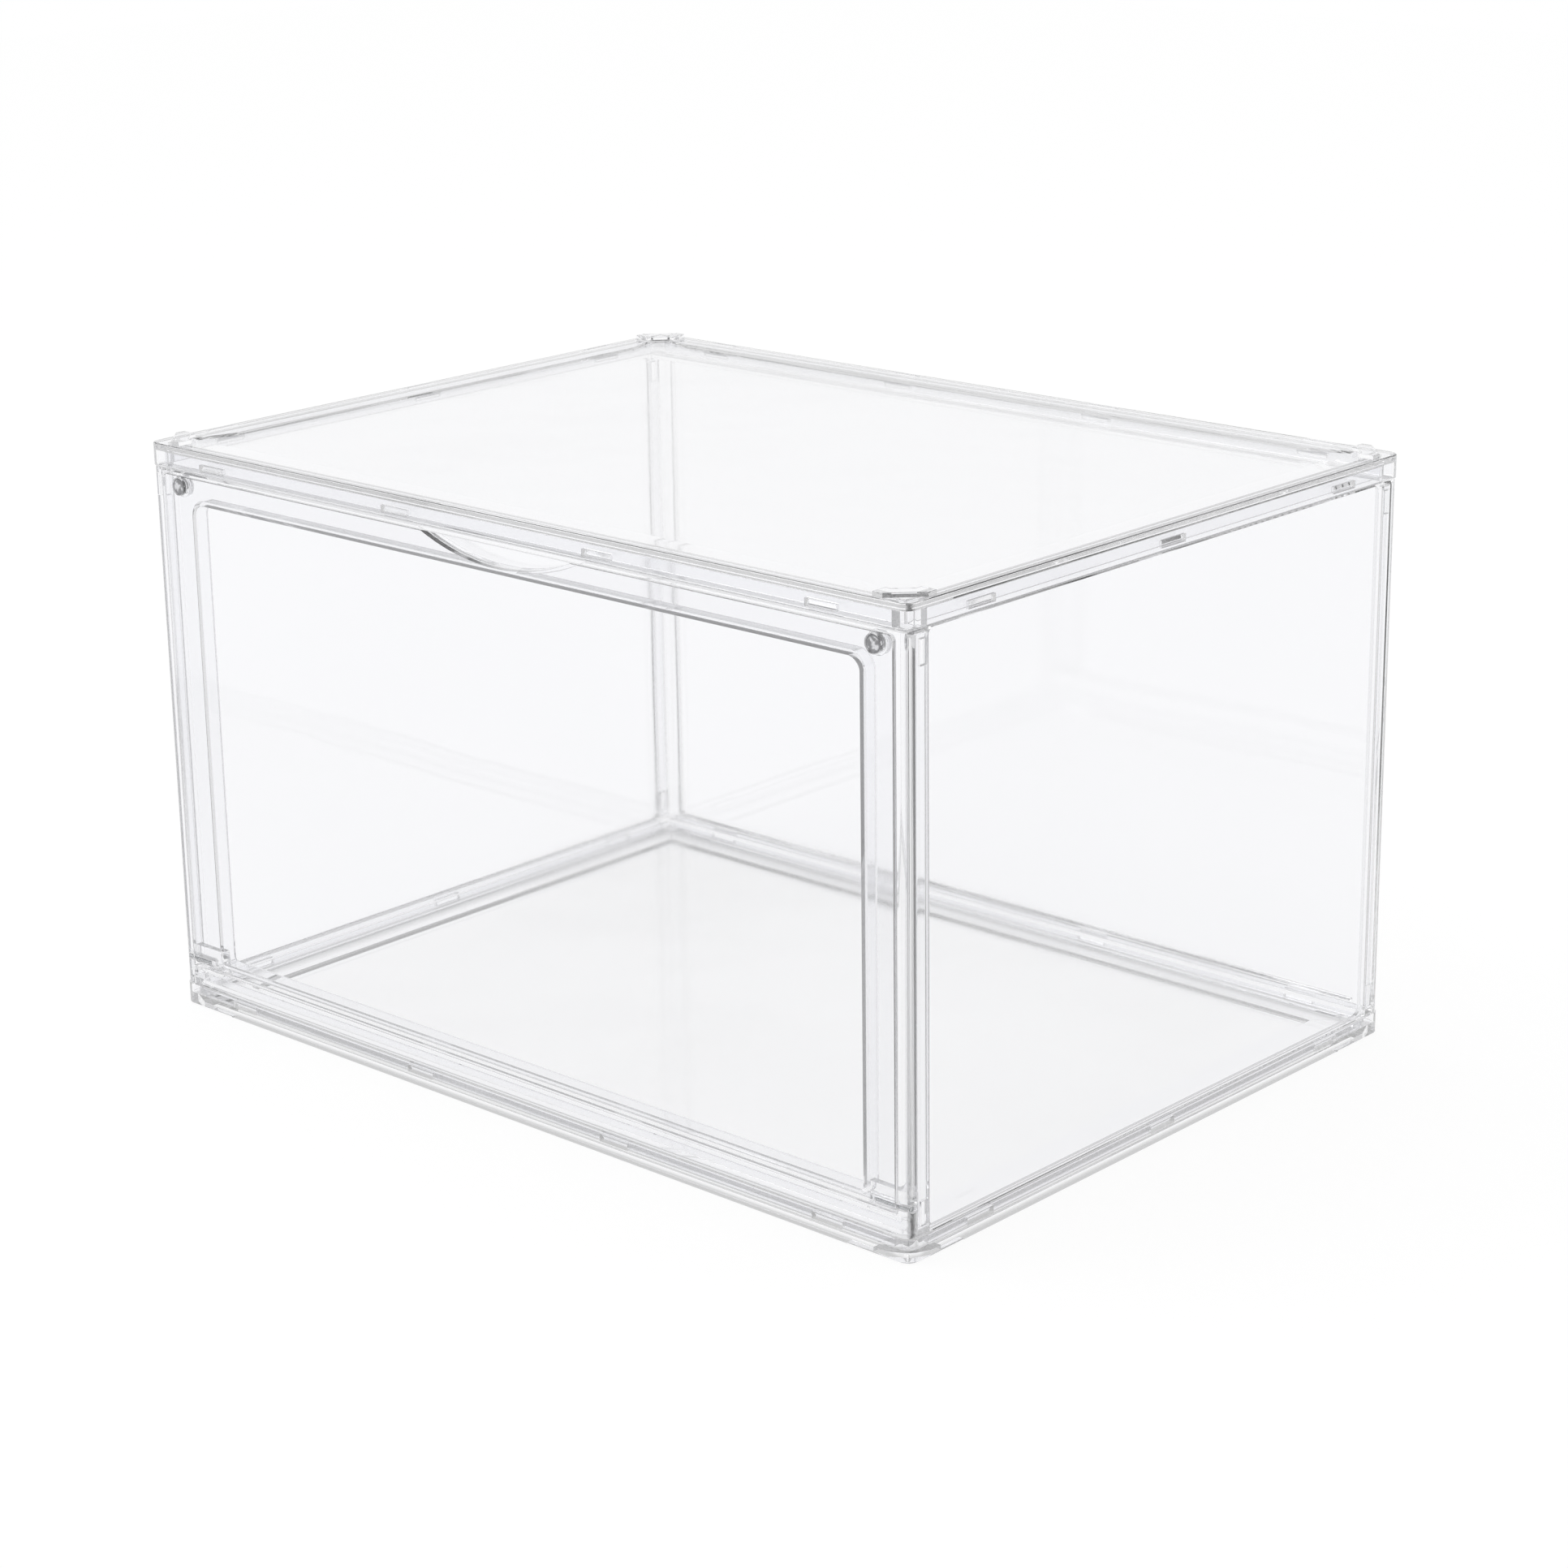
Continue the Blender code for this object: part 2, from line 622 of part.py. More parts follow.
def front_frame(material):
    """Open front wall: a channel-shaped rail all round, a rebate for the door, a scoop behind
    the finger notch, cups for the magnets and blocks that hold the hinge pins."""
    wall_low = WALL_LOW + RETURN_WALL
    wall_high = WALL_HIGH - RETURN_WALL
    return_x = WALL_X - RETURN_WALL
    lining = RETURN_WALL
    bm = bmesh.new()
    rings = return_rings(-1)
    rebate = (REBATE_X, REBATE_BOTTOM, REBATE_HIGH, DOOR_RADIUS + SEAT_GAP)
    opening = (OPENING_X, OPENING_BOTTOM, OPENING_HIGH, OPENING_RADIUS)
    back_of_lining = (OPENING_X + lining, OPENING_BOTTOM - lining, OPENING_HIGH + lining,
                      OPENING_RADIUS + lining)
    behind_flange = (return_x, wall_low, wall_high, OUTER_EDGE_ROUND)
    for shape, y, low_radius in (
            (rebate, DOOR_FRONT, SHARP), (rebate, REBATE_BACK, SHARP),
            (opening, REBATE_BACK, OPENING_LOW_RADIUS), (opening, -RETURN_END, OPENING_LOW_RADIUS),
            (back_of_lining, -RETURN_END, OPENING_LOW_RADIUS + lining),
            (back_of_lining, FLANGE_BACK, OPENING_LOW_RADIUS + lining),
            (behind_flange, FLANGE_BACK, None), (behind_flange, -RETURN_END, None)):
        rings.append(wall_ring(*shape, y, low_radius))
    add_rings(bm, rings, closed=True)
    frame = make_object("front_frame", bm, material)

    scoop_floor = REBATE_BACK + SCOOP_DEPTH
    root = FLANGE_BACK - FLANGE_THICKNESS / 2
    cup_floor = REBATE_BACK + MAGNET_SHY + FRAME_MAGNET_THICKNESS + SEAT_GAP
    block_end = HINGE_Y + KNUCKLE_RADIUS + SEAT_GAP + HINGE_BLOCK_WALL
    block_inner = DOOR_X - KNUCKLE_LENGTH - SEAT_GAP - HINGE_BLOCK_WALL
    block_outer = HALF_WIDTH - TONGUE_INNER - SEAT_GAP
    block_half = KNUCKLE_RADIUS + SEAT_GAP + HINGE_BLOCK_WALL

    adders = [bmesh.new(), bmesh.new(), bmesh.new()]
    add_wall_tongues(adders[0], -1)
    add_wall_tabs(adders[1], -1)
    add_prism(adders[2], segment_outline(NOTCH_RADIUS + SCOOP_WALL, wall_high + RETURN_WALL / 2),
              root, scoop_floor + SCOOP_WALL, along_y)
    for sign in (-1, 1):
        add_rod(adders[2], (sign * MAGNET_X, MAGNET_Z), MAGNET_RADIUS + SEAT_GAP + MAGNET_CUP_WALL, root,
                cup_floor + MAGNET_CUP_WALL, along_y)
        add_box(adders[2], (sign * block_inner, root, HINGE_Z - block_half),
                (sign * block_outer, block_end, HINGE_Z + block_half))
    for adder in adders:
        boolean(frame, adder, "UNION")

    cuts = bmesh.new()
    return_windows(cuts, -1)
    add_prism(cuts, segment_outline(NOTCH_RADIUS, REBATE_HIGH - SCOOP_TOP), DOOR_BACK, scoop_floor, along_y)
    for sign in (-1, 1):
        add_rod(cuts, (sign * MAGNET_X, MAGNET_Z), MAGNET_RADIUS + SEAT_GAP, DOOR_BACK, cup_floor, along_y)
        pocket, bore = KNUCKLE_RADIUS + SEAT_GAP, PIN_RADIUS + PIN_CLEARANCE
        add_turned(cuts, (HINGE_Y, HINGE_Z),
                   [(pocket, sign * (DOOR_X - KNUCKLE_LENGTH - SEAT_GAP)), (pocket, sign * REBATE_X),
                    (bore, sign * REBATE_X), (bore, sign * (HALF_WIDTH + CLEAR_CUT))], along_x)
    boolean(frame, cuts, "DIFFERENCE")
    finish(frame)


# Door

def door_outline():
    """Door seen from the front: square below, round upper corners, a moon-shaped finger notch."""
    top_corner = (DOOR_X - DOOR_RADIUS, DOOR_HIGH - DOOR_RADIUS)
    fillet_z = DOOR_HIGH - NOTCH_FILLET
    reach = NOTCH_RADIUS + NOTCH_FILLET
    fillet_x = math.sqrt(reach ** 2 - (fillet_z - NOTCH_CENTRE_Z) ** 2)
    lean = math.degrees(math.atan2(NOTCH_CENTRE_Z - fillet_z, fillet_x))
    right = [(DOOR_X, HINGE_Z)]
    right += arc(top_corner, DOOR_RADIUS, 0, 90, CORNER_STEPS)
    right += arc((fillet_x, fillet_z), NOTCH_FILLET, 90, 180 - lean, CORNER_STEPS)
    moon = arc((0, NOTCH_CENTRE_Z), NOTCH_RADIUS, -lean, -180 + lean, NOTCH_STEPS)
    left = [(-x, z) for x, z in reversed(right)]
    return right + moon[1:-1] + left


def door(pivot, material):
    """Flush door with a finger notch, a knuckle at each lower corner and magnet pockets."""
    bm = bmesh.new()
    add_prism(bm, door_outline(), DOOR_FRONT, DOOR_BACK, along_y)
    front_edges = [edge for edge in bm.edges
                   if all(abs(vert.co.y - DOOR_FRONT) < DOOR_THICKNESS / 10 for vert in edge.verts)]
    bmesh.ops.bevel(bm, geom=front_edges, offset=DOOR_EDGE_CHAMFER, segments=1, affect="EDGES")
    leaf = make_object("door", bm, material, pivot)

    knuckles = bmesh.new()
    bores = bmesh.new()
    for sign in (-1, 1):
        inner = sign * (DOOR_X - KNUCKLE_LENGTH)
        add_rod(knuckles, (HINGE_Y, HINGE_Z), KNUCKLE_RADIUS, inner, sign * (DOOR_X - SEAT_GAP), along_x)
        add_rod(bores, (HINGE_Y, HINGE_Z), PIN_RADIUS + PIN_CLEARANCE,
                sign * (DOOR_X - PIN_REACH - SEAT_GAP), sign * (DOOR_X + CLEAR_CUT), along_x)
        pocket_floor = DOOR_BACK - MAGNET_SHY - DOOR_MAGNET_THICKNESS - SEAT_GAP
        add_rod(bores, (sign * MAGNET_X, MAGNET_Z), MAGNET_RADIUS + SEAT_GAP, pocket_floor,
                DOOR_BACK + CLEAR_CUT, along_y)
    boolean(leaf, knuckles, "UNION", pivot)
    boolean(leaf, bores, "DIFFERENCE", pivot)
    finish(leaf)


# Metal pieces

def magnets(pivot, material):
    """A magnet in each upper corner of the door, and one behind it in the frame."""
    for sign, side in ((-1, "left"), (1, "right")):
        place = (sign * MAGNET_X, MAGNET_Z)
        bm = bmesh.new()
        face = DOOR_BACK - MAGNET_SHY
        add_rod(bm, place, MAGNET_RADIUS, face - DOOR_MAGNET_THICKNESS, face, along_y)
        finish(make_object(f"door_magnet_{side}", bm, material, pivot))
        bm = bmesh.new()
        face = REBATE_BACK + MAGNET_SHY
        add_rod(bm, place, MAGNET_RADIUS, face, face + FRAME_MAGNET_THICKNESS, along_y)
        finish(make_object(f"frame_magnet_{side}", bm, material))


def hinge_pins(material):
    """A short pin at each end of the door, pushed in from the case's side."""
    for sign, side in ((-1, "left"), (1, "right")):
        bm = bmesh.new()
        add_rod(bm, (HINGE_Y, HINGE_Z), PIN_RADIUS, sign * (DOOR_X - PIN_REACH),
                sign * (WALL_X - PIN_SHY), along_x)
        finish(make_object(f"hinge_pin_{side}", bm, material))


def build():
    """Make every piece of the case."""
    clear_scene()
    clear = make_material("clear_plastic", (0.93, 0.95, 0.97), 0.05, 0.0, 0.25)
    nickel = make_material("magnet_nickel", (0.62, 0.62, 0.63), 0.28, 1.0)
    steel = make_material("pin_steel", (0.56, 0.57, 0.58), 0.25, 1.0)
    pivot = bpy.data.objects.new("door_pivot", None)
    pivot.location = Vector((0, HINGE_Y, HINGE_Z))
    bpy.context.collection.objects.link(pivot)

    base_tray(clear)
    lid(clear)
    side_panel(-1, "side_panel_left", clear)
    side_panel(1, "side_panel_right", clear)
    back_panel(clear)
    front_frame(clear)
    door(pivot, clear)
    magnets(pivot, nickel)
    hinge_pins(steel)


build()
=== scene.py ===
"""Looks of a stackable clear display case with a drop-front door.

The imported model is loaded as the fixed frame. Each moulding is then built again with fine
rounded edges in the place of its plain solid, the small metal parts are turned with their
real edge breaks, and a plain white studio is set up round the case.

Metres, +Z up. The origin is under the middle of the base, the door is at -Y.
"""
import logging
import math
from dataclasses import dataclass, field
from enum import Enum
from typing import Any, Callable, Sequence, Union

import bmesh
import bpy
from mathutils import Matrix, Vector


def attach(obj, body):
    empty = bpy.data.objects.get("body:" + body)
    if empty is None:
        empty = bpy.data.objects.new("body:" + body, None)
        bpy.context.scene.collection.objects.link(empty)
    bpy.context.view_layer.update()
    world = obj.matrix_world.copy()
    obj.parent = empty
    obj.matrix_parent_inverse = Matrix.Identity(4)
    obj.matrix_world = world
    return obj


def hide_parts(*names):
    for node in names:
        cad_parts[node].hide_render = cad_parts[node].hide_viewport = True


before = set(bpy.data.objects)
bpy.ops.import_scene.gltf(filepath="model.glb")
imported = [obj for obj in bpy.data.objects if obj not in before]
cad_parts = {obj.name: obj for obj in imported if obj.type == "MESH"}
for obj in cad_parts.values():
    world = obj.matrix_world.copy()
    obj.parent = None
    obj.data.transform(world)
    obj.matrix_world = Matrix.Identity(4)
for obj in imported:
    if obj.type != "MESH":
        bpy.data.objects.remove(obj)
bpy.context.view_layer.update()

LOG = logging.getLogger("display_case")

Number = Union[int, float]
Span = tuple[float, float]
Point = tuple[float, float, float]
Colour = tuple[float, float, float]
Outline = list[Span]
Ring = list[Point]
Line = tuple[Span, Point, int, float]


class Body(Enum):
    """Bodies that the pieces ride on."""

    CASE = "case"
    DOOR = "drop_door"


class Slot(Enum):
    """Material slots of the pieces."""

    CLEAR = "clear_plastic"
    MAGNET = "magnet_nickel"
    PIN = "pin_steel"


# Shader maths


def operator(operation: str, turned: bool = False) -> Callable[..., "Value"]:
    """Make an operator or a method of Value that adds one Math node.

    Args:
        operation: what the node does.
        turned: whether the value stands on the right of the other one.

    Returns:
        The method.
    """
    def method(self: "Value", *others: Any) -> "Value":
        """Work out the value with what stands beside it."""
        inputs = dict(enumerate((*others, self) if turned else (self, *others)))
        return self.graph.node("ShaderNodeMath", {"operation": operation}, inputs)

    return method


class Value:
    """One number in a shader, either a socket or a plain number, with Python's operators."""

    def __init__(self, graph: "Graph", source: Any) -> None:
        """Wrap an output socket or a number, for the graph that new nodes go into."""
        self.graph = graph
        self.source = source

    __add__ = __radd__ = operator("ADD")
    __sub__ = operator("SUBTRACT")
    __rsub__ = operator("SUBTRACT", turned=True)
    __mul__ = __rmul__ = operator("MULTIPLY")
    __pow__ = operator("POWER")
    __gt__ = operator("GREATER_THAN")
    __lt__ = operator("LESS_THAN")
    __abs__ = operator("ABSOLUTE")
    at_least = operator("MAXIMUM")
    at_most = operator("MINIMUM")
    angle_to = operator("ARCTAN2")

    def ramp(self, low: Number, high: Number, first: Number = 0.0, last: Number = 1.0) -> "Value":
        """Map low to high smoothly onto first to last, held at its two ends."""
        settings = {"interpolation_type": "SMOOTHSTEP", "clamp": True}
        return self.graph.node("ShaderNodeMapRange", settings, {
            "Value": self, "From Min": low, "From Max": high, "To Min": first, "To Max": last})


class Graph:
    """Node tree of a material, a world or a set of copies, emptied and ready to be filled."""

    def __init__(self, owner: Any) -> None:
        """Empty the owner's tree.

        Args:
            owner: a material, a world or a Geometry Nodes tree.
        """
        self.owner = owner
        self.tree = owner
        if not isinstance(owner, bpy.types.NodeTree):
            owner.use_nodes = True
            self.tree = owner.node_tree
        self.tree.nodes.clear()

    def plug(self, socket: Any, value: Any) -> None:
        """Link a value to an input, or set the input to it.

        Args:
            socket: input socket.
            value: a Value, an output socket, a number, a colour or a vector.
        """
        if isinstance(value, Value):
            value = value.source
        if isinstance(value, bpy.types.NodeSocket):
            self.tree.links.new(socket, value)
        else:
            socket.default_value = value

    def node(self, kind: str, settings: dict[str, Any] | None = None,
             inputs: dict[Any, Any] | None = None, output: Any = 0) -> Value:
        """Add any node.

        Args:
            kind: type of the node.
            settings: properties of the node, set before its sockets are used.
            inputs: what goes into its sockets, by name or number.
            output: the output that is wanted, by name or number.

        Returns:
            The output as a value.
        """
        node = self.tree.nodes.new(kind)
        for name, setting in (settings or {}).items():
            setattr(node, name, setting)
        for name, value in (inputs or {}).items():
            self.plug(node.inputs[name], value)
        return Value(self, node.outputs[output])

    def parts(self, vector: Value) -> list[Value]:
        """X, Y and Z of a vector."""
        split = self.node("ShaderNodeSeparateXYZ", {}, {"Vector": vector}).source.node
        return [Value(self, split.outputs[axis]) for axis in "XYZ"]

    def mix(self, factor: Value, first: Any, second: Any) -> Value:
        """Mix two colours.

        Args:
            factor: share of the second colour.
            first: colour at nought.
            second: colour at one.

        Returns:
            The mixed colour.
        """
        inputs = {0: factor}
        for socket, value in ((6, first), (7, second)):
            inputs[socket] = (*value, 1.0) if isinstance(value, tuple) else value
        return self.node("ShaderNodeMix", {"data_type": "RGBA"}, inputs, 2)

    def ray(self, name: str) -> Value:
        """One output of Light Path."""
        return self.node("ShaderNodeLightPath", output=name)

    def place(self) -> Value:
        """Place on the object, in metres."""
        return self.node("ShaderNodeTexCoord", output="Object")

    def noise(self, vector: Value, scale: Number, detail: Number) -> Value:
        """Soft noise about a half, by waves to a metre and octaves."""
        inputs = {"Vector": vector, "Scale": scale, "Detail": detail}
        return self.node("ShaderNodeTexNoise", {}, inputs, "Fac")

    def surface(self, shader: Value) -> None:
        """Send a shader to the output."""
        kind = "World" if isinstance(self.owner, bpy.types.World) else "Material"
        self.plug(self.tree.nodes.new(f"ShaderNodeOutput{kind}").inputs["Surface"], shader)


# Finishes


@dataclass(frozen=True)
class ClearPlastic:
    """Clear moulded plastic with faint flow waves, patches of haze and a tray floor dulled by wear
    and painted lighter.
    """

    name: str = "clear_plastic"
    colour: Colour = (0.972, 0.973, 0.982)
    # Painted light: the clearer colour of the tray's floor pane lightens the floor seen through it
    painted_light_colour: Colour = (1.0, 1.0, 1.0)
    refraction: float = 1.49
    roughness: float = 0.015
    haze: float = 0.035
    haze_scale: float = 9.0
    haze_range: Span = (0.35, 0.75)
    rubbed_haze: float = 0.07
    scratch_scale: float = 900.0
    scratch_range: Span = (0.35, 0.70)
    scratch_least: float = 0.5
    wave_scale: float = 11.0
    wave_height: float = 0.003
    wave_strength: float = 0.08
    pane_half: Span = (0.157, 0.110)
    pane_edge: Span = (-0.002, 0.004)
    pane_level: Span = (0.008, 0.010)

    def rubbed_and_painted_light_floor(self, place: Value) -> Value:
        """Tell where the tray's floor is dulled by fine scratches and painted lighter, a painted
        light on the floor seen through it.

        Args:
            place: place on the object.

        Returns:
            One on the floor's pane, fading to nought round it.
        """
        x, y, z = place.graph.parts(place)
        inside = (self.pane_half[0] - abs(x)).at_most(self.pane_half[1] - abs(y))
        return inside.ramp(*self.pane_edge) * (1.0 - z.ramp(*self.pane_level))

    def make(self) -> bpy.types.Material:
        """Build the material.

        Returns:
            The material.
        """
        material = bpy.data.materials.new(self.name)
        graph = Graph(material)
        place = graph.place()
        patches = graph.noise(place, self.haze_scale, 3.0).ramp(*self.haze_range)
        scratches = graph.noise(place, self.scratch_scale, 4.0).ramp(*self.scratch_range)
        wear_and_painted_light = self.rubbed_and_painted_light_floor(place)
        uneven = scratches * (1.0 - self.scratch_least) + self.scratch_least
        waves = graph.node("ShaderNodeBump", {}, {
            "Strength": self.wave_strength, "Distance": self.wave_height,
            "Height": graph.noise(place, self.wave_scale, 2.0)})
        graph.surface(graph.node("ShaderNodeBsdfPrincipled", {}, {
            # Painted light on the floor pane in its colour, and its wear in the roughness
            "Base Color": graph.mix(wear_and_painted_light, self.colour, self.painted_light_colour),
            "Roughness": patches * self.haze + wear_and_painted_light * uneven * self.rubbed_haze + self.roughness,
            "IOR": self.refraction, "Transmission Weight": 1.0, "Normal": waves}))
        return material


@dataclass(frozen=True)
class PlatedNickel:
    """Nickel plating of the small magnets, blotched on the face, with painted shade round the rim.
    """

    fit: "DoorFit"
    name: str = "magnet_nickel"
    bright: Colour = (0.86, 0.86, 0.87)
    blotch: Colour = (0.30, 0.30, 0.31)
    # Painted shade round the rim of the magnets' faces
    rim: Colour = (0.20, 0.20, 0.21)
    rim_range: Span = (0.70, 0.92)
    blotch_scale: float = 620.0
    blotch_range: Span = (0.44, 0.60)
    blotch_dull: float = 0.15
    grain_scale: float = 4000.0
    grain_dull: float = 0.12
    roughness: float = 0.22

    def make(self) -> bpy.types.Material:
        """Build the material.

        Returns:
            The material.
        """
        material = bpy.data.materials.new(self.name)
        graph = Graph(material)
        place = graph.place()
        x, _, z = graph.parts(place)
        aside, above = abs(x) - self.fit.magnet_x, z - self.fit.magnet_z
        out = (aside * aside + above * above) ** 0.5
        # Painted shade: the face darkens towards its rim
        rim = out.ramp(*(self.fit.magnet_radius * share for share in self.rim_range))
        blotches = graph.noise(place, self.blotch_scale, 3.0).ramp(*self.blotch_range)
        grain = graph.noise(place, self.grain_scale, 4.0)
        face = graph.mix(blotches, self.bright, self.blotch)
        graph.surface(graph.node("ShaderNodeBsdfPrincipled", {}, {
            "Base Color": graph.mix(rim, face, self.rim), "Metallic": 1.0,
            "Roughness": grain * self.grain_dull + blotches * self.blotch_dull + self.roughness}))
        return material


@dataclass(frozen=True)
class DrawnSteel:
    """Drawn steel of the hinge pins."""

    name: str = "pin_steel"
    light: Colour = (0.56, 0.57, 0.58)
    dark: Colour = (0.44, 0.45, 0.46)
    grain_scale: float = 1400.0
    grain_dull: float = 0.10
    roughness: float = 0.22

    def make(self) -> bpy.types.Material:
        """Build the material.

        Returns:
            The material.
        """
        material = bpy.data.materials.new(self.name)
        graph = Graph(material)
        grain = graph.noise(graph.place(), self.grain_scale, 3.0)
        graph.surface(graph.node("ShaderNodeBsdfPrincipled", {}, {
            "Base Color": graph.mix(grain, self.dark, self.light), "Metallic": 1.0,
            "Roughness": grain * self.grain_dull + self.roughness}))
        return material


# Studio


def add(name: str, data: Any) -> bpy.types.Object:
    """Put a new object into the scene.

    Args:
        name: its name.
        data: its mesh, lamp or camera.

    Returns:
        The object.
    """
    obj = bpy.data.objects.new(name, data)
    bpy.context.scene.collection.objects.link(obj)
    return obj


@dataclass
class Studio:
    """Plain white studio: floor, soft room light, two softboxes and the camera.

    Painted shade on the floor and a painted dark band in the room show only in inner mirrorings
    of the mouldings, where they draw the thin dark lines of the edges.
    """

    case: "CaseSizes"
    bounces: int = 96
    room_light: float = 0.80
    floor_size: float = 6.0
    floor_colour: float = 0.09
    floor_roughness: float = 0.9
    floor_lift: float = 0.924
    # Painted shade: the room looks darker each time a ray was mirrored
    mirrored_times: Span = (1.0, 4.0)
    mirrored_light: Span = (0.97, 0.68)
    inner_most: int = 3
    inner_passes: int = 5
    # How deep the painted shade is that inner mirrorings show on the floor and round the room
    dark: float = 0.75
    # Painted shade on the floor, seen only in inner mirrorings of the mouldings
    painted_floor_shade_times: int = 2
    painted_floor_shade_end: Span = (0.11, 0.16)
    # Painted dark band round the room, seen only in inner mirrorings of the mouldings
    painted_room_band_times: int = 1
    painted_room_band_low: Span = (0.19, 0.22)
    painted_room_band_high: Span = (0.285, 0.31)
    # Painted shadow on the floor under the tray's foot
    foot_shade: float = 0.32
    foot_outer: Span = (-0.0005, 0.0020)
    foot_inner: Span = (0.0055, 0.0090)
    softbox_aim: Point = (0.0, 0.0, 0.1)
    softboxes: tuple[tuple[str, Point, float, float], ...] = (
        ("softbox_above", (-0.5, -0.3, 1.5), 1.4, 6.0),
        ("softbox_left", (-0.9, -0.8, 1.6), 0.9, 3.6))
    camera_place: Point = (0.865, -0.934, 0.498)
    camera_turn: float = -42.56
    camera_tilt: float = 17.75
    camera_roll: float = -0.83
    camera_lens: float = 84.1
    camera_film: float = 36.0

    def seen(self, graph: Graph) -> Value:
        """Tell what is seen of the room, directly, through clear plastic or in metal.

        Args:
            graph: graph of the floor or the room.

        Returns:
            One for the rays that show the room, nought for those that light the case.
        """
        direct, through = graph.ray("Is Camera Ray"), graph.ray("Is Transmission Ray")
        seen = direct.at_least(through).at_least(graph.ray("Is Glossy Ray"))
        return seen * (graph.ray("Diffuse Depth") < 0.5)

    def mirrored(self, graph: Graph) -> Value:
        """Tell how bright the room looks: one, and less each time a ray was mirrored on its way, a
        painted shade.
        """
        times = graph.ray("Glossy Depth")
        return 1.0 + (times > 0.5) * (times.ramp(*self.mirrored_times, *self.mirrored_light) - 1.0)

    def inner(self, graph: Graph, fewest: int) -> Value:
        """Tell which rays passed several faces and were mirrored a few times inside a moulding.

        Args:
            graph: graph of the floor or the room.
            fewest: least number of times.

        Returns:
            One for such rays.
        """
        times = graph.ray("Glossy Depth")
        few = (times > fewest - 0.5) * (times < self.inner_most + 0.5)
        return few * (graph.ray("Transmission Depth") > self.inner_passes - 0.5)

    def painted_floor_shade(self, graph: Graph) -> Value:
        """Tell where an inner mirroring of a moulding shows the painted shade on the floor."""
        x = graph.parts(graph.node("ShaderNodeNewGeometry", output="Position"))[0]
        return self.inner(graph, self.painted_floor_shade_times) * (1.0 - x.ramp(*self.painted_floor_shade_end))

    def foot(self, graph: Graph) -> Value:
        """Tell where the floor gets a painted shadow under the tray's foot, seen through the
        plastic.

        Args:
            graph: graph of the floor.

        Returns:
            One under the foot, fading to nought on both of its sides.
        """
        x, y, _ = graph.parts(graph.node("ShaderNodeNewGeometry", output="Position"))
        inside = (self.case.half_width - abs(x)).at_most(self.case.half_depth - abs(y))
        strip = inside.ramp(*self.foot_outer) * (1.0 - inside.ramp(*self.foot_inner))
        return strip * (graph.ray("Transmission Depth") > 0.5)

    def painted_room_band(self, graph: Graph) -> Value:
        """Tell where the room shows a painted dark band round the case, a little above the floor.

        Args:
            graph: graph of the room.

        Returns:
            One where an inner mirroring of a moulding shows the painted band.
        """
        z = graph.parts(graph.node("ShaderNodeTexCoord", output="Generated"))[2]
        band = z.ramp(*self.painted_room_band_low) * (1.0 - z.ramp(*self.painted_room_band_high))
        return self.inner(graph, self.painted_room_band_times) * band

    def room(self) -> None:
        """Make the world: an even light, seen as white, with painted shade in what edges mirror."""
        world = bpy.data.worlds.new("room")
        bpy.context.scene.world = world
        graph = Graph(world)
        # Painted shade: the room is darker in mirrorings and in a band that inner mirrorings show
        shown = self.mirrored(graph) * (1.0 - self.painted_room_band(graph) * self.dark)
        strength = self.room_light + self.seen(graph) * (shown - self.room_light)
        inputs = {"Color": (1.0, 1.0, 1.0, 1.0), "Strength": strength}
        graph.surface(graph.node("ShaderNodeBackground", {}, inputs))

    def floor(self) -> None:
        """Make the floor, which looks white and keeps the case's faint shadow."""
        half = self.floor_size / 2
        corners = [(-half, -half, 0), (half, -half, 0), (half, half, 0), (-half, half, 0)]
        mesh = bpy.data.meshes.new("floor")
        mesh.from_pydata(corners, [], [(0, 1, 2, 3)])
        material = bpy.data.materials.new("floor_white")
        graph = Graph(material)
        # Painted shade on the floor in inner mirrorings, and a painted shadow under the foot
        shown = self.mirrored(graph) * (1.0 - self.painted_floor_shade(graph) * self.dark)
        shown = shown * (1.0 - self.foot(graph) * self.foot_shade)
        lift = (shown + (self.floor_lift - 1.0)).at_least(0.0)
        tone = self.floor_colour
        graph.surface(graph.node("ShaderNodeBsdfPrincipled", {}, {
            "Base Color": (tone, tone, tone, 1.0), "Roughness": self.floor_roughness,
            "Specular IOR Level": 0.0, "Emission Color": lift,
            "Emission Strength": self.seen(graph)}))
        mesh.materials.append(material)
        add("floor", mesh)

    def softbox(self, name: str, place: Point, size: float, power: float) -> None:
        """Add a square lamp that points at the case.

        Args:
            name: name of the lamp.
            place: where it hangs.
            size: length of its side.
            power: watts.
        """
        data = bpy.data.lights.new(name, "AREA")
        data.size = size
        data.energy = power
        obj = add(name, data)
        obj.location = place
        way = Vector(self.softbox_aim) - Vector(place)
        obj.rotation_euler = way.to_track_quat("-Z", "Y").to_euler()

    def camera(self) -> None:
        """Place the camera at the photograph's viewing angle."""
        angles = (self.camera_turn, self.camera_tilt, self.camera_roll)
        turn, tilt, roll = (math.radians(angle) for angle in angles)
        ahead = Vector((math.sin(turn) * math.cos(tilt), math.cos(turn) * math.cos(tilt),
                        -math.sin(tilt)))
        level = Vector((math.cos(turn), -math.sin(turn), 0.0))
        above = level.cross(ahead)
        right = level * math.cos(roll) + above * math.sin(roll)
        up = above * math.cos(roll) - level * math.sin(roll)
        data = bpy.data.cameras.new("camera")
        data.sensor_fit = "HORIZONTAL"
        data.sensor_width = self.camera_film
        data.lens = self.camera_lens
        obj = add("camera", data)
        turned = Matrix((right, up, -ahead)).transposed().to_4x4()
        obj.matrix_world = Matrix.Translation(self.camera_place) @ turned
        bpy.context.scene.camera = obj

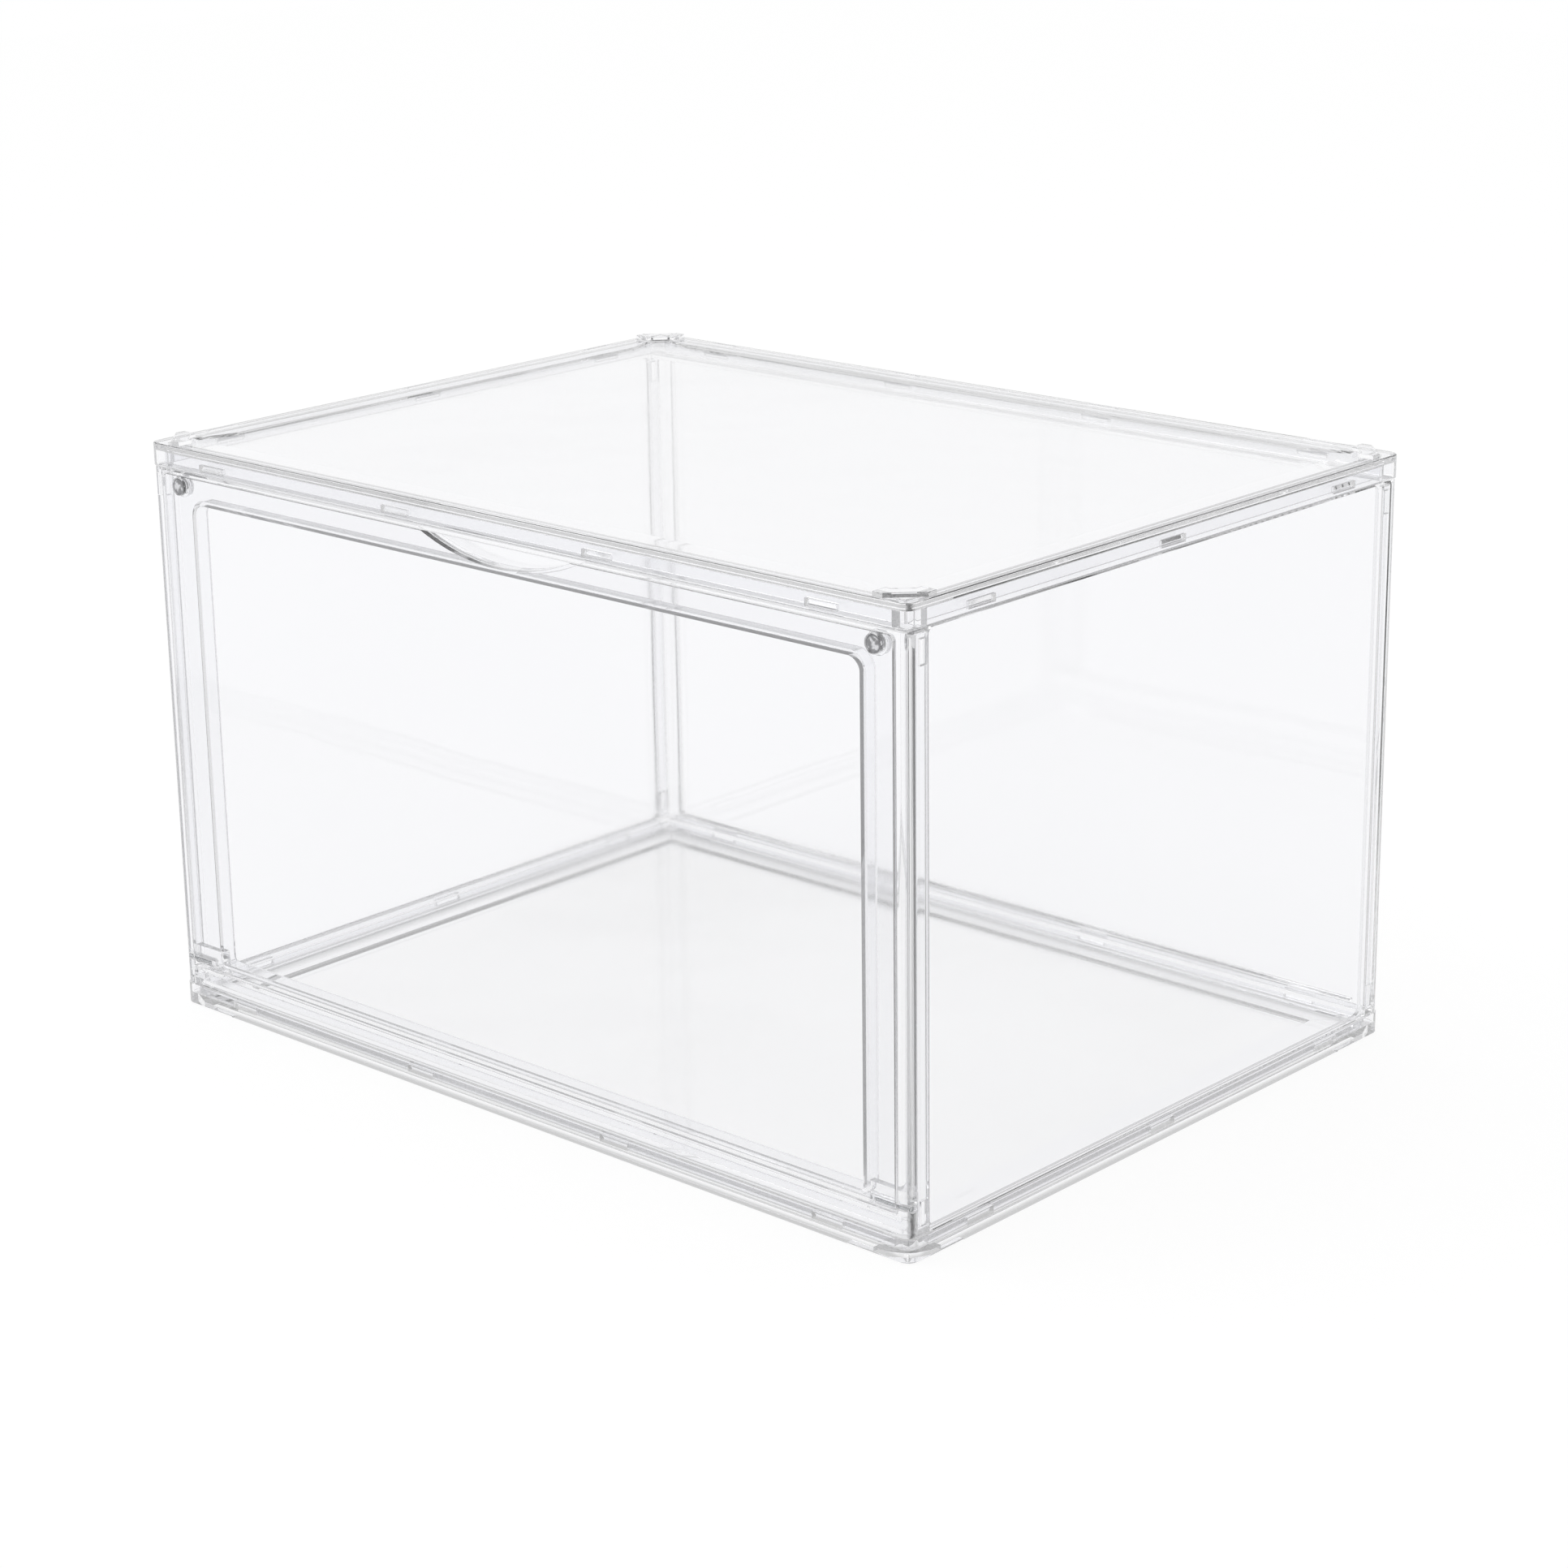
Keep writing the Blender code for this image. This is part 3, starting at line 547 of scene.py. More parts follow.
    def build(self) -> None:
        """Set up the whole studio."""
        scene = bpy.context.scene
        scene.view_settings.view_transform = "Standard"
        for kind in ("max", "transmission", "glossy"):
            setattr(scene.cycles, f"{kind}_bounces", self.bounces)
        self.room()
        self.floor()
        for softbox in self.softboxes:
            self.softbox(*softbox)
        self.camera()


# Solids

# Smallest radius of a corner, and how far a cutting tool stands out of what it cuts
SHARP = 0.0003
CLEAR = 0.002

# Stretches of the curves
ROD_STEPS = 64
NOTCH_STEPS = 56
CORNER_STEPS = 12
FILLET_STEPS = 8
EDGE_STEPS = 4

# Facets of a moulded edge, and the angles from which edges are rounded and shaded sharp
EDGE_FACETS = 2
ROUNDED_ANGLE = math.radians(38)
SHARP_ANGLE = math.radians(50)
TURNED_ANGLE = math.radians(40)


class Axis(Enum):
    """Direction that an outline is extruded in."""

    X = "x"
    Y = "y"
    Z = "z"

    def point(self, a: float, b: float, level: float) -> Point:
        """Turn a point of an outline and its level into a place.

        Args:
            a: first coordinate of the point.
            b: its second coordinate.
            level: how far along the axis it lies.

        Returns:
            The place.
        """
        if self is Axis.X:
            return (level, a, b)
        if self is Axis.Y:
            return (a, level, b)
        return (a, b, level)


class Operation(Enum):
    """What a tool solid does to a moulding."""

    JOIN = "UNION"
    CUT = "DIFFERENCE"


def arc(centre: Span, radius: float, start: float, end: float, steps: int) -> Outline:
    """Points of an arc in a plane, both ends included.

    Args:
        centre: middle of the arc.
        radius: its radius.
        start: first angle, in degrees.
        end: last angle, in degrees.
        steps: number of stretches.

    Returns:
        The points.
    """
    points = []
    for i in range(steps + 1):
        angle = math.radians(start + (end - start) * i / steps)
        points.append((centre[0] + radius * math.cos(angle), centre[1] + radius * math.sin(angle)))
    return points


def rounded_rectangle(low: Sequence[float], high: Sequence[float], radius: float,
                      low_radius: float | None = None) -> Outline:
    """Outline of a rectangle with round corners, anticlockwise from its lower right corner.

    Args:
        low: lower left corner.
        high: upper right corner.
        radius: radius of the corners.
        low_radius: radius of the two lower corners, where it differs.

    Returns:
        The outline.
    """
    upper = max(radius, SHARP)
    lower = upper if low_radius is None else max(low_radius, SHARP)
    corners = [((high[0] - lower, low[1] + lower), lower),
               ((high[0] - upper, high[1] - upper), upper),
               ((low[0] + upper, high[1] - upper), upper),
               ((low[0] + lower, low[1] + lower), lower)]
    return [point for number, (centre, bend) in enumerate(corners)
            for point in arc(centre, bend, 90 * number - 90, 90 * number, CORNER_STEPS)]


def settle(obj: bpy.types.Object) -> None:
    """Turn an object's modifiers into its own plain mesh.

    Args:
        obj: object with modifiers.
    """
    bpy.context.view_layer.update()
    graph = bpy.context.evaluated_depsgraph_get()
    mesh = bpy.data.meshes.new_from_object(obj.evaluated_get(graph))
    old = obj.data
    obj.modifiers.clear()
    obj.data = mesh
    bpy.data.meshes.remove(old)


class Solid:
    """Closed shape made of rings, prisms, boxes and rods."""

    def __init__(self) -> None:
        """Start with nothing."""
        self.bm = bmesh.new()

    def rings(self, rings: Sequence[Sequence[Point]], closed: bool = False) -> "Solid":
        """Bridge rings of points and cap the ends.

        Args:
            rings: rings with the same number of points.
            closed: whether the last ring joins the first instead.

        Returns:
            The solid.
        """
        loops = [[self.bm.verts.new(point) for point in ring] for ring in rings]
        pairs = list(zip(loops, loops[1:]))
        if closed:
            pairs.append((loops[-1], loops[0]))
        for first, second in pairs:
            for i, vert in enumerate(first):
                following = (i + 1) % len(first)
                self.bm.faces.new((vert, first[following], second[following], second[i]))
        if not closed:
            self.bm.faces.new(list(reversed(loops[0])))
            self.bm.faces.new(loops[-1])
        return self

    def prism(self, outline: Outline, low: float, high: float, axis: Axis) -> "Solid":
        """Extrude an outline between two levels."""
        return self.rings([[axis.point(a, b, level) for a, b in outline] for level in (low, high)])

    def box(self, low: Sequence[float], high: Sequence[float]) -> "Solid":
        """Box between two opposite corners."""
        outline = [(low[0], low[1]), (high[0], low[1]), (high[0], high[1]), (low[0], high[1])]
        return self.prism(outline, low[2], high[2], Axis.Z)

    def block(self, half_wide: float, front: float, back: float, half_high: float) -> "Solid":
        """Box about the Y axis."""
        return self.box((-half_wide, front, -half_high), (half_wide, back, half_high))

    def rod(self, radius: float, low: float, high: float, axis: Axis, edge: float = 0.0) -> "Solid":
        """Round bar about an axis through the origin.

        Args:
            radius: its radius.
            low: level of its first end.
            high: level of its second end.
            axis: its direction.
            edge: radius of its rounded edges.

        Returns:
            The solid.
        """
        sections = [(radius, low), (radius, high)]
        if edge:
            bend = arc((radius - edge, edge), edge, -90, 0, EDGE_STEPS)
            sections = [(r, low + rise) for r, rise in bend]
            sections += [(r, high - rise) for r, rise in reversed(bend)]
        circles = [(arc((0, 0), r, 0, 360 - 360 / ROD_STEPS, ROD_STEPS - 1), level)
                   for r, level in sections]
        return self.rings([[axis.point(a, b, level) for a, b in circle]
                           for circle, level in circles])

    def take(self, *objects: bpy.types.Object) -> "Solid":
        """Add the meshes of objects and remove the objects.

        Args:
            *objects: the objects, in order.

        Returns:
            The solid.
        """
        for obj in objects:
            self.bm.from_mesh(obj.data)
            bpy.data.objects.remove(obj, do_unlink=True)
        return self

    def shown(self, name: str) -> bpy.types.Object:
        """Make an object of the solid.

        Args:
            name: name of the object.

        Returns:
            The object, at the origin.
        """
        bmesh.ops.recalc_face_normals(self.bm, faces=self.bm.faces)
        mesh = bpy.data.meshes.new(name)
        self.bm.to_mesh(mesh)
        self.bm.free()
        return add(name, mesh)


def combine(target: bpy.types.Object, tool: Solid, operation: Operation) -> None:
    """Join a solid to a moulding, or cut it out.

    Args:
        target: the moulding.
        tool: the other solid, which is used up.
        operation: what is done with it.
    """
    helper = tool.shown("tool")
    modifier = target.modifiers.new("tool", "BOOLEAN")
    modifier.operation = operation.value
    modifier.solver = "EXACT"
    modifier.object = helper
    settle(target)
    bpy.data.objects.remove(helper, do_unlink=True)


# Copies made with Geometry Nodes


class Copies:
    """Geometry Nodes tree that sets copies of a small form at points."""

    def __init__(self, name: str, sockets: dict[str, str]) -> None:
        """Make the tree and its named inputs.

        Args:
            name: name of the tree.
            sockets: inputs by name, with their kinds.
        """
        tree = bpy.data.node_groups.new(name, "GeometryNodeTree")
        self.graph = Graph(tree)
        self.keys: dict[str, str] = {}
        sockets = {"Form": "NodeSocketObject", "Finish": "NodeSocketMaterial", **sockets}
        for label, kind in sockets.items():
            socket = tree.interface.new_socket(label, in_out="INPUT", socket_type=kind)
            self.keys[label] = socket.identifier
        tree.interface.new_socket("Geometry", in_out="OUTPUT", socket_type="NodeSocketGeometry")
        self.entry = tree.nodes.new("NodeGroupInput")
        points, turn = self.layout()
        form = self.graph.node("GeometryNodeObjectInfo", {}, {"Object": self.value("Form")},
                               "Geometry")
        turned = self.graph.node("ShaderNodeCombineXYZ", {}, {"Z": turn})
        copies = self.graph.node("GeometryNodeInstanceOnPoints", {}, {
            "Points": points, "Instance": form, "Rotation": turned})
        plain = self.graph.node("GeometryNodeRealizeInstances", {}, {"Geometry": copies})
        dressed = self.graph.node("GeometryNodeSetMaterial", {}, {
            "Geometry": plain, "Material": self.value("Finish")})
        self.graph.plug(tree.nodes.new("NodeGroupOutput").inputs["Geometry"], dressed)

    def value(self, label: str) -> Value:
        """One named input of the tree."""
        return Value(self.graph, self.entry.outputs[label])

    def layout(self) -> tuple[Value, Value]:
        """Say where the copies go: their points, and each copy's turn about the upright."""
        raise NotImplementedError

    def make(self, name: str, form: Solid, finish: bpy.types.Material | None = None,
             **inputs: Any) -> bpy.types.Object:
        """Make the copies.

        Args:
            name: name of the object.
            form: the form that is copied, which is used up.
            finish: material of the copies.
            **inputs: the tree's other inputs.

        Returns:
            An object with a plain mesh.
        """
        original = form.shown(f"{name}_form")
        carrier = add(name, bpy.data.meshes.new(name))
        modifier = carrier.modifiers.new("copies", "NODES")
        modifier.node_group = self.graph.tree
        for label, value in {"Form": original, "Finish": finish, **inputs}.items():
            if value is not None:
                modifier[self.keys[label]] = value
        settle(carrier)
        bpy.data.objects.remove(original, do_unlink=True)
        return carrier


class Row(Copies):
    """Copies in a straight row, such as the snap tabs along a wall."""

    def __init__(self) -> None:
        """Make the tree."""
        super().__init__("row", {"Count": "NodeSocketInt", "First": "NodeSocketVector",
                                 "Step": "NodeSocketVector", "Turn": "NodeSocketFloat"})

    def layout(self) -> tuple[Value, Value]:
        """Points along a line, all with the same turn."""
        line = self.graph.node("GeometryNodeMeshLine", {"mode": "OFFSET"}, {
            "Count": self.value("Count"), "Start Location": self.value("First"),
            "Offset": self.value("Step")})
        return line, self.value("Turn")

    def pair(self, name: str, form: Solid, place: Point,
             finish: bpy.types.Material | None = None) -> bpy.types.Object:
        """Copy a form, made about its own middle, to a place on the right and one on the left."""
        (x, y, z), step = place, (2 * place[0], 0, 0)
        return self.make(name, form, finish, Count=2, First=(-x, y, z), Step=step, Turn=0.0)

    def twice(self, form: Solid, *place: float) -> Solid:
        """Copy a form to the right and the left, to be joined to a moulding or cut out of it."""
        return Solid().take(self.pair("pair", form, place))


class FourCorners(Copies):
    """Copies in the four upright corners, each turned to look outwards."""

    def __init__(self) -> None:
        """Make the tree."""
        super().__init__("four_corners", {"Width": "NodeSocketFloat", "Depth": "NodeSocketFloat"})

    def layout(self) -> tuple[Value, Value]:
        """Corners of a rectangle, with a quarter turn from each to the next.

        Returns:
            The corners and the turns.
        """
        grid = self.graph.node("GeometryNodeMeshGrid", {}, {
            "Size X": self.value("Width"), "Size Y": self.value("Depth"), "Vertices X": 2,
            "Vertices Y": 2})
        x, y, _ = self.graph.parts(self.graph.node("GeometryNodeInputPosition"))
        side_y, side_x = (y > 0.0) * 2.0 - 1.0, (x > 0.0) * 2.0 - 1.0
        return grid, side_y.angle_to(side_x) - math.pi / 4


# Sizes


@dataclass(frozen=True)
class CaseSizes:
    """Sizes that the mouldings share, in metres.

    The last ones are faces and edges that follow from the sizes above them: x and y from the
    middle of the case, z from its foot, and the tongues' two faces from its outer face.
    """

    width: float = 0.360
    depth: float = 0.265
    height: float = 0.216
    corner_radius: float = 0.0045
    seat_gap: float = 0.0003
    reveal: float = 0.0004
    skirt_height: float = 0.0083
    skirt_wall: float = 0.0020
    edge_round: float = 0.0006
    moulded_edge: float = 0.00012
    tongue_thickness: float = 0.0024
    keeper_wall: float = 0.0016
    keeper_short: float = 0.0007
    foot_height: float = 0.0018
    foot_width: float = 0.0054
    foot_draft: float = 0.0003
    floor_thickness: float = 0.0024
    lid_thickness: float = 0.0028
    step_slope: float = 0.0015
    pane_thickness: float = 0.0024
    pane_radius: float = 0.0030
    return_depth: float = 0.0093
    side_reach: float = 0.0042
    tongue_end_gap: float = 0.0030
    tongue_root: float = 0.0010

    half_width: float = width / 2
    half_depth: float = depth / 2
    wall_x: float = half_width - reveal
    wall_y: float = half_depth - reveal
    wall_radius: float = corner_radius - reveal
    wall_low: float = skirt_height + seat_gap
    wall_high: float = height - wall_low
    return_wall: float = skirt_wall - reveal
    return_end: float = wall_y - return_depth
    tongue_outer: float = skirt_wall + seat_gap
    tongue_inner: float = tongue_outer + tongue_thickness
    floor_top: float = foot_height + floor_thickness
    tongue_low: float = floor_top + seat_gap
    tongue_high: float = height - lid_thickness - seat_gap

    def ring(self, inset: float, level: float) -> Ring:
        """Outline of the case at a distance in from its outer faces.

        Args:
            inset: that distance.
            level: height of the outline.

        Returns:
            The ring.
        """
        low = (-self.half_width + inset, -self.half_depth + inset)
        high = (self.half_width - inset, self.half_depth - inset)
        return [(x, y, level) for x, y in rounded_rectangle(low, high, self.corner_radius - inset)]

    def skirt(self, level_of: Callable[[float], float], channel_end: float,
              plate_face: float) -> list[Ring]:
        """Rings up the skirt's outside, down into the channel and over the keeper rib.

        Args:
            level_of: turns a height above the outer face into a level.
            channel_end: bottom of the channel.
            plate_face: inner face of the floor or the lid.

        Returns:
            The rings.
        """
        edge = self.edge_round
        keeper = self.tongue_inner + self.seat_gap
        keeper_height = self.skirt_height - self.keeper_short
        sections = [(edge - a, edge + b) for a, b in arc((0, 0), edge, -90, 0, EDGE_STEPS)]
        inner = keeper + self.keeper_wall
        sections += [(0.0, self.skirt_height), (self.skirt_wall, self.skirt_height),
                     (self.skirt_wall, channel_end), (keeper, channel_end), (keeper, keeper_height),
                     (inner, keeper_height), (inner, plate_face)]
        return [self.ring(inset, level_of(height)) for inset, height in sections]


@dataclass(frozen=True)
class SnapFit:
    """Snap tabs on the tongues, their windows in the skirts, and hooks at the upright corners."""

    case: CaseSizes
    row: Row
    tab_width: float = 0.0124
    tab_height: float = 0.0020
    tab_reach: float = 0.0015
    tab_level: float = 0.0059
    tab_end: float = 0.0350
    tab_heel: float = 0.25
    tab_land: float = 0.4
    tabs_wide: int = 4
    tabs_deep: int = 3
    hook_width: float = 0.0024
    hook_height: float = 0.0080
    hook_end: float = 0.0075

    def lines(self) -> list[Line]:
        """Rows of tabs along the four walls, in plan.

        Returns:
            For the front, back, right and left wall, the first place, the step, the count and
            the turn of its outward side.
        """
        half_w, half_d = self.case.half_width, self.case.half_depth
        end_w, end_d = half_w - self.tab_end, half_d - self.tab_end
        wide = (2 * end_w / (self.tabs_wide - 1), 0.0, 0.0)
        deep = (0.0, 2 * end_d / (self.tabs_deep - 1), 0.0)
        return [((-end_w, -half_d), wide, self.tabs_wide, 0.0),
                ((-end_w, half_d), wide, self.tabs_wide, math.pi),
                ((half_w, -end_d), deep, self.tabs_deep, math.pi / 2),
                ((-half_w, -end_d), deep, self.tabs_deep, -math.pi / 2)]

    def along(self, line: Line, level: float, form: Solid) -> bpy.types.Object:
        """Set copies of a form, placed from the wall's outer face, along a line at a level."""
        (x, y), step, count, turn = line
        return self.row.make("line", form, Count=count, First=(x, y, level), Step=step, Turn=turn)

    def tab(self, catch: int) -> Solid:
        """Wedge with a flat catch, standing out of a tongue towards -Y.

        Args:
            catch: 1 where the flat face looks up, -1 where it looks down.

        Returns:
            The wedge, placed from the case's outer face.
        """
        face = self.case.tongue_outer
        half = self.tab_height / 2
        root = face + self.case.tongue_thickness / 2
        tip = face - self.tab_reach
        heel = face - self.tab_reach * self.tab_heel
        wedge = [(root, catch * half), (tip, catch * half), (tip, catch * half * self.tab_land),
                 (heel, -catch * half), (root, -catch * half)]
        return Solid().prism(wedge, -self.tab_width / 2, self.tab_width / 2, Axis.X)

    def window(self) -> Solid:
        """Opening through a skirt for one tab, from the case's outer face."""
        gap = self.case.seat_gap
        return Solid().block(self.tab_width / 2 + gap, -CLEAR, self.case.skirt_wall + gap,
                             self.tab_height / 2 + gap)

    def tabs(self, wall: int) -> list[bpy.types.Object]:
        """Upper and lower tabs of one wall, by its number in lines()."""
        levels = ((self.case.height - self.tab_level, -1), (self.tab_level, 1))
        return [self.along(self.lines()[wall], level, self.tab(catch)) for level, catch in levels]

    def windows(self, level: float) -> Solid:
        """Openings for the tabs in the skirt at one level."""
        return Solid().take(*(self.along(line, level, self.window()) for line in self.lines()))

    def upright_pair(self, form: Solid, sign_x: int, sign_y: int) -> bpy.types.Object:
        """Set a form at both hooks of one upright corner.

        Args:
            form: the form, which looks towards -Y from the wall's outer face.
            sign_x: side of the case.
            sign_y: front or back.

        Returns:
            The two copies.
        """
        low = self.case.wall_low + self.hook_end
        rise = self.case.wall_high - self.hook_end - low
        middle = self.case.return_end + self.case.side_reach / 2
        first = (sign_x * self.case.wall_x, sign_y * middle)
        return self.along((first, (0, 0, rise), 2, sign_x * math.pi / 2), low, form)

    def hook(self) -> Solid:
        """Block on an upright tongue, from the wall's outer face."""
        back = self.case.tongue_outer - self.case.reveal + self.case.tongue_thickness / 2
        return Solid().block(self.hook_width / 2, self.case.seat_gap, back, self.hook_height / 2)

    def hook_window(self) -> Solid:
        """Opening for a hook in a return, from the wall's outer face."""
        gap = self.case.seat_gap
        return Solid().block(self.hook_width / 2 + gap, -CLEAR, self.case.return_wall + gap,
                             self.hook_height / 2 + gap)


@dataclass(frozen=True)
class DoorFit:
    """Sizes that the door shares with its frame, in metres, the last ones worked out."""

    thickness: float = 0.0022
    rebate_side: float = 0.0062
    rebate_top: float = 0.0104
    rebate_bottom: float = 0.0159
    radius: float = 0.0020
    hinge_setback: float = 0.0002
    knuckle_radius: float = 0.0021
    knuckle_length: float = 0.0112
    pin_radius: float = 0.0010
    pin_clearance: float = 0.00025
    pin_reach: float = 0.0090
    pin_shy: float = 0.0010
    notch_width: float = 0.0710
    notch_depth: float = 0.0073
    magnet_radius: float = 0.0030
    magnet_side: float = 0.0147
    magnet_top: float = 0.0147
    magnet_shy: float = 0.00005
    door_magnet: float = 0.00125
    frame_magnet: float = 0.0029

    front: float = -CaseSizes.wall_y
    back: float = front + thickness
    rebate_back: float = back + CaseSizes.seat_gap
    rebate_x: float = CaseSizes.half_width - rebate_side
    rebate_high: float = CaseSizes.height - rebate_top
    door_x: float = rebate_x - CaseSizes.seat_gap
    door_high: float = rebate_high - CaseSizes.seat_gap
    hinge_y: float = back + hinge_setback
    hinge_z: float = rebate_bottom + CaseSizes.seat_gap + hinge_y - front
    magnet_x: float = CaseSizes.half_width - magnet_side
    magnet_z: float = CaseSizes.height - magnet_top
    notch_radius: float = ((notch_width / 2) ** 2 + notch_depth ** 2) / (2 * notch_depth)
    notch_centre: float = door_high - notch_depth + notch_radius


# Mouldings


@dataclass
class Piece:
    """One piece of the case that is built, dressed and put on its body."""

    case: CaseSizes
    finishes: dict[Slot, bpy.types.Material]

    def place(self, obj: bpy.types.Object, body: Body, slot: Slot, *nodes: str) -> None:
        """Dress a finished piece and put it in the place of its plain solids.

        Args:
            obj: the piece.
            body: body that it rides on.
            slot: slot that it takes its finish from.
            *nodes: plain solids that it stands for.
        """
        obj.data.materials.clear()
        obj.data.materials.append(self.finishes[slot])
        for polygon in obj.data.polygons:
            polygon.material_index = 0
        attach(obj, body.value)
        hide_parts(*nodes)
        check = bmesh.new()
        check.from_mesh(obj.data)
        loose = sum(1 for edge in check.edges if not edge.is_manifold)
        check.free()
        LOG.info("%s: %d faces, %d open edges, rides %s, stands for %s", obj.name,
                 len(obj.data.polygons), loose, body.value, ", ".join(nodes))

    def mould(self, obj: bpy.types.Object, body: Body, node: str) -> None:
        """Give a moulding the small radius that every moulded edge has, and put it in its place.

        Args:
            obj: the moulding.
            body: body that it rides on.
            node: plain solid that it stands for.
        """
        bevel = obj.modifiers.new("edges", "BEVEL")
        bevel.width = self.case.moulded_edge
        bevel.segments = EDGE_FACETS
        bevel.limit_method = "ANGLE"
        bevel.angle_limit = ROUNDED_ANGLE
        bevel.use_clamp_overlap = False
        bevel.loop_slide = False
        bevel.miter_outer = "MITER_ARC"
        settle(obj)
        obj.data.shade_smooth()
        obj.data.set_sharp_from_angle(angle=SHARP_ANGLE)
        weighted = obj.modifiers.new("shade", "WEIGHTED_NORMAL")
        weighted.keep_sharp = True
        weighted.weight = 100
        settle(obj)
        self.place(obj, body, Slot.CLEAR, node)


@dataclass
class Trays(Piece):
    """Base tray and lid: skirts with a channel for the walls, a sunk pane and stacking pads."""

    snap: SnapFit
    corners: FourCorners
    floor_border: float = 0.0190
    floor_border_step: float = 0.0012
    lid_border: float = 0.0135
    lid_pane_drop: float = 0.0008
    ear_start: float = 0.0300
    ear_end: float = 0.0138
    ear_border: float = 0.0082
    pad_leg: float = 0.0155
    pad_inner: float = 0.0078
    pad_inner_cut: float = 0.0054
    pad_set_in: float = 0.0016
    pad_outer_cut: float = 0.0099
    pad_gap_side: float = 0.0004
    pad_gap_depth: float = 0.0003
    relief_leg: float = 0.0270
    relief_height: float = 0.00045

    def pad(self, low: float, high: float, grow: float = 0.0) -> Solid:
        """L-shaped pad of the corner, with both elbows cut across.

        Args:
            low: lower level.
            high: upper level.
            grow: how much larger it is all round.

        Returns:
            The pad, placed from the case's corner.
        """
        inner = self.pad_inner + grow
        outer = self.pad_set_in - grow
        leg = self.pad_leg + grow
        inner_cut = self.pad_inner + self.pad_inner_cut + grow
        outer_cut = self.pad_set_in + self.pad_outer_cut - grow * 2
        outline = [(leg, outer), (leg, inner), (inner_cut, inner), (inner, inner_cut), (inner, leg),
                   (outer, leg), (outer, outer_cut), (outer_cut, outer)]
        return Solid().prism([(-a, -b) for a, b in outline], low, high, Axis.Z)

    def relief(self) -> Solid:
        """Strip along the foot's rim on both sides of a corner.

        Returns:
            The strip, placed from the corner.
        """
        inner = self.case.foot_width + CLEAR
        outline = [(self.relief_leg, -CLEAR), (self.relief_leg, inner), (inner, inner),
                   (inner, self.relief_leg), (-CLEAR, self.relief_leg), (-CLEAR, -CLEAR)]
        return Solid().prism([(-a, -b) for a, b in outline], -CLEAR, self.relief_height, Axis.Z)

    def in_corners(self, form: Solid) -> Solid:
        """Copy a form to the four corners."""
        return Solid().take(self.corners.make("corner_forms", form, Width=self.case.width,
                                              Depth=self.case.depth))

    def pane_ring(self, shrink: float, level: float) -> Ring:
        """Outline of the lid's sunk pane, which reaches out towards each corner.

        Args:
            shrink: how much smaller it is all round.
            level: its height.

        Returns:
            The ring.
        """
        border, start = self.lid_border + shrink, self.ear_start
        ear, end = self.ear_border + shrink, self.ear_end + shrink
        quarter = [(start, border), (end, ear), (ear, end), (border, start)]
        half_w, half_d = self.case.half_width, self.case.half_depth
        ring: Ring = []
        for sign_x, sign_y in ((1, -1), (1, 1), (-1, 1), (-1, -1)):
            points = [(sign_x * (half_w - a), sign_y * (half_d - b), level) for a, b in quarter]
            ring += points if sign_x * sign_y < 0 else reversed(points)
        return ring

    def build_tray(self) -> None:
        """Base tray: foot, skirt, channel and sunk floor pane."""
        case = self.case
        border_top = case.floor_top + self.floor_border_step
        rings = [case.ring(case.foot_width + case.foot_draft, case.foot_height),
                 case.ring(case.foot_width, 0)]
        rings += case.skirt(lambda height: height, case.floor_top, border_top)
        rings += [case.ring(self.floor_border, border_top),
                  case.ring(self.floor_border + case.step_slope, case.floor_top)]
        tray = Solid().rings(rings).shown("base_tray_moulding")
        combine(tray, self.snap.windows(self.snap.tab_level), Operation.CUT)
        recess = self.pad(-CLEAR, case.foot_height + self.pad_gap_depth, self.pad_gap_side)
        combine(tray, self.in_corners(recess), Operation.CUT)
        combine(tray, self.in_corners(self.relief()), Operation.CUT)
        self.mould(tray, Body.CASE, "base_tray")

    def build_lid(self) -> None:
        """Lid: skirt, channel, sunk pane and four stacking pads."""
        case = self.case
        rings = case.skirt(lambda height: case.height - height, case.lid_thickness,
                           case.lid_thickness)
        cover = Solid().rings(rings).shown("lid_moulding")
        pane = Solid().rings([self.pane_ring(case.step_slope, case.height - self.lid_pane_drop),
                              self.pane_ring(0, case.height),
                              self.pane_ring(0, case.height + CLEAR)])
        combine(cover, pane, Operation.CUT)
        pad_top = case.height + case.foot_height - case.seat_gap
        combine(cover, self.in_corners(self.pad(case.height - case.lid_thickness / 2, pad_top)),
                Operation.JOIN)
        combine(cover, self.snap.windows(case.height - self.snap.tab_level), Operation.CUT)
        self.mould(cover, Body.CASE, "lid")


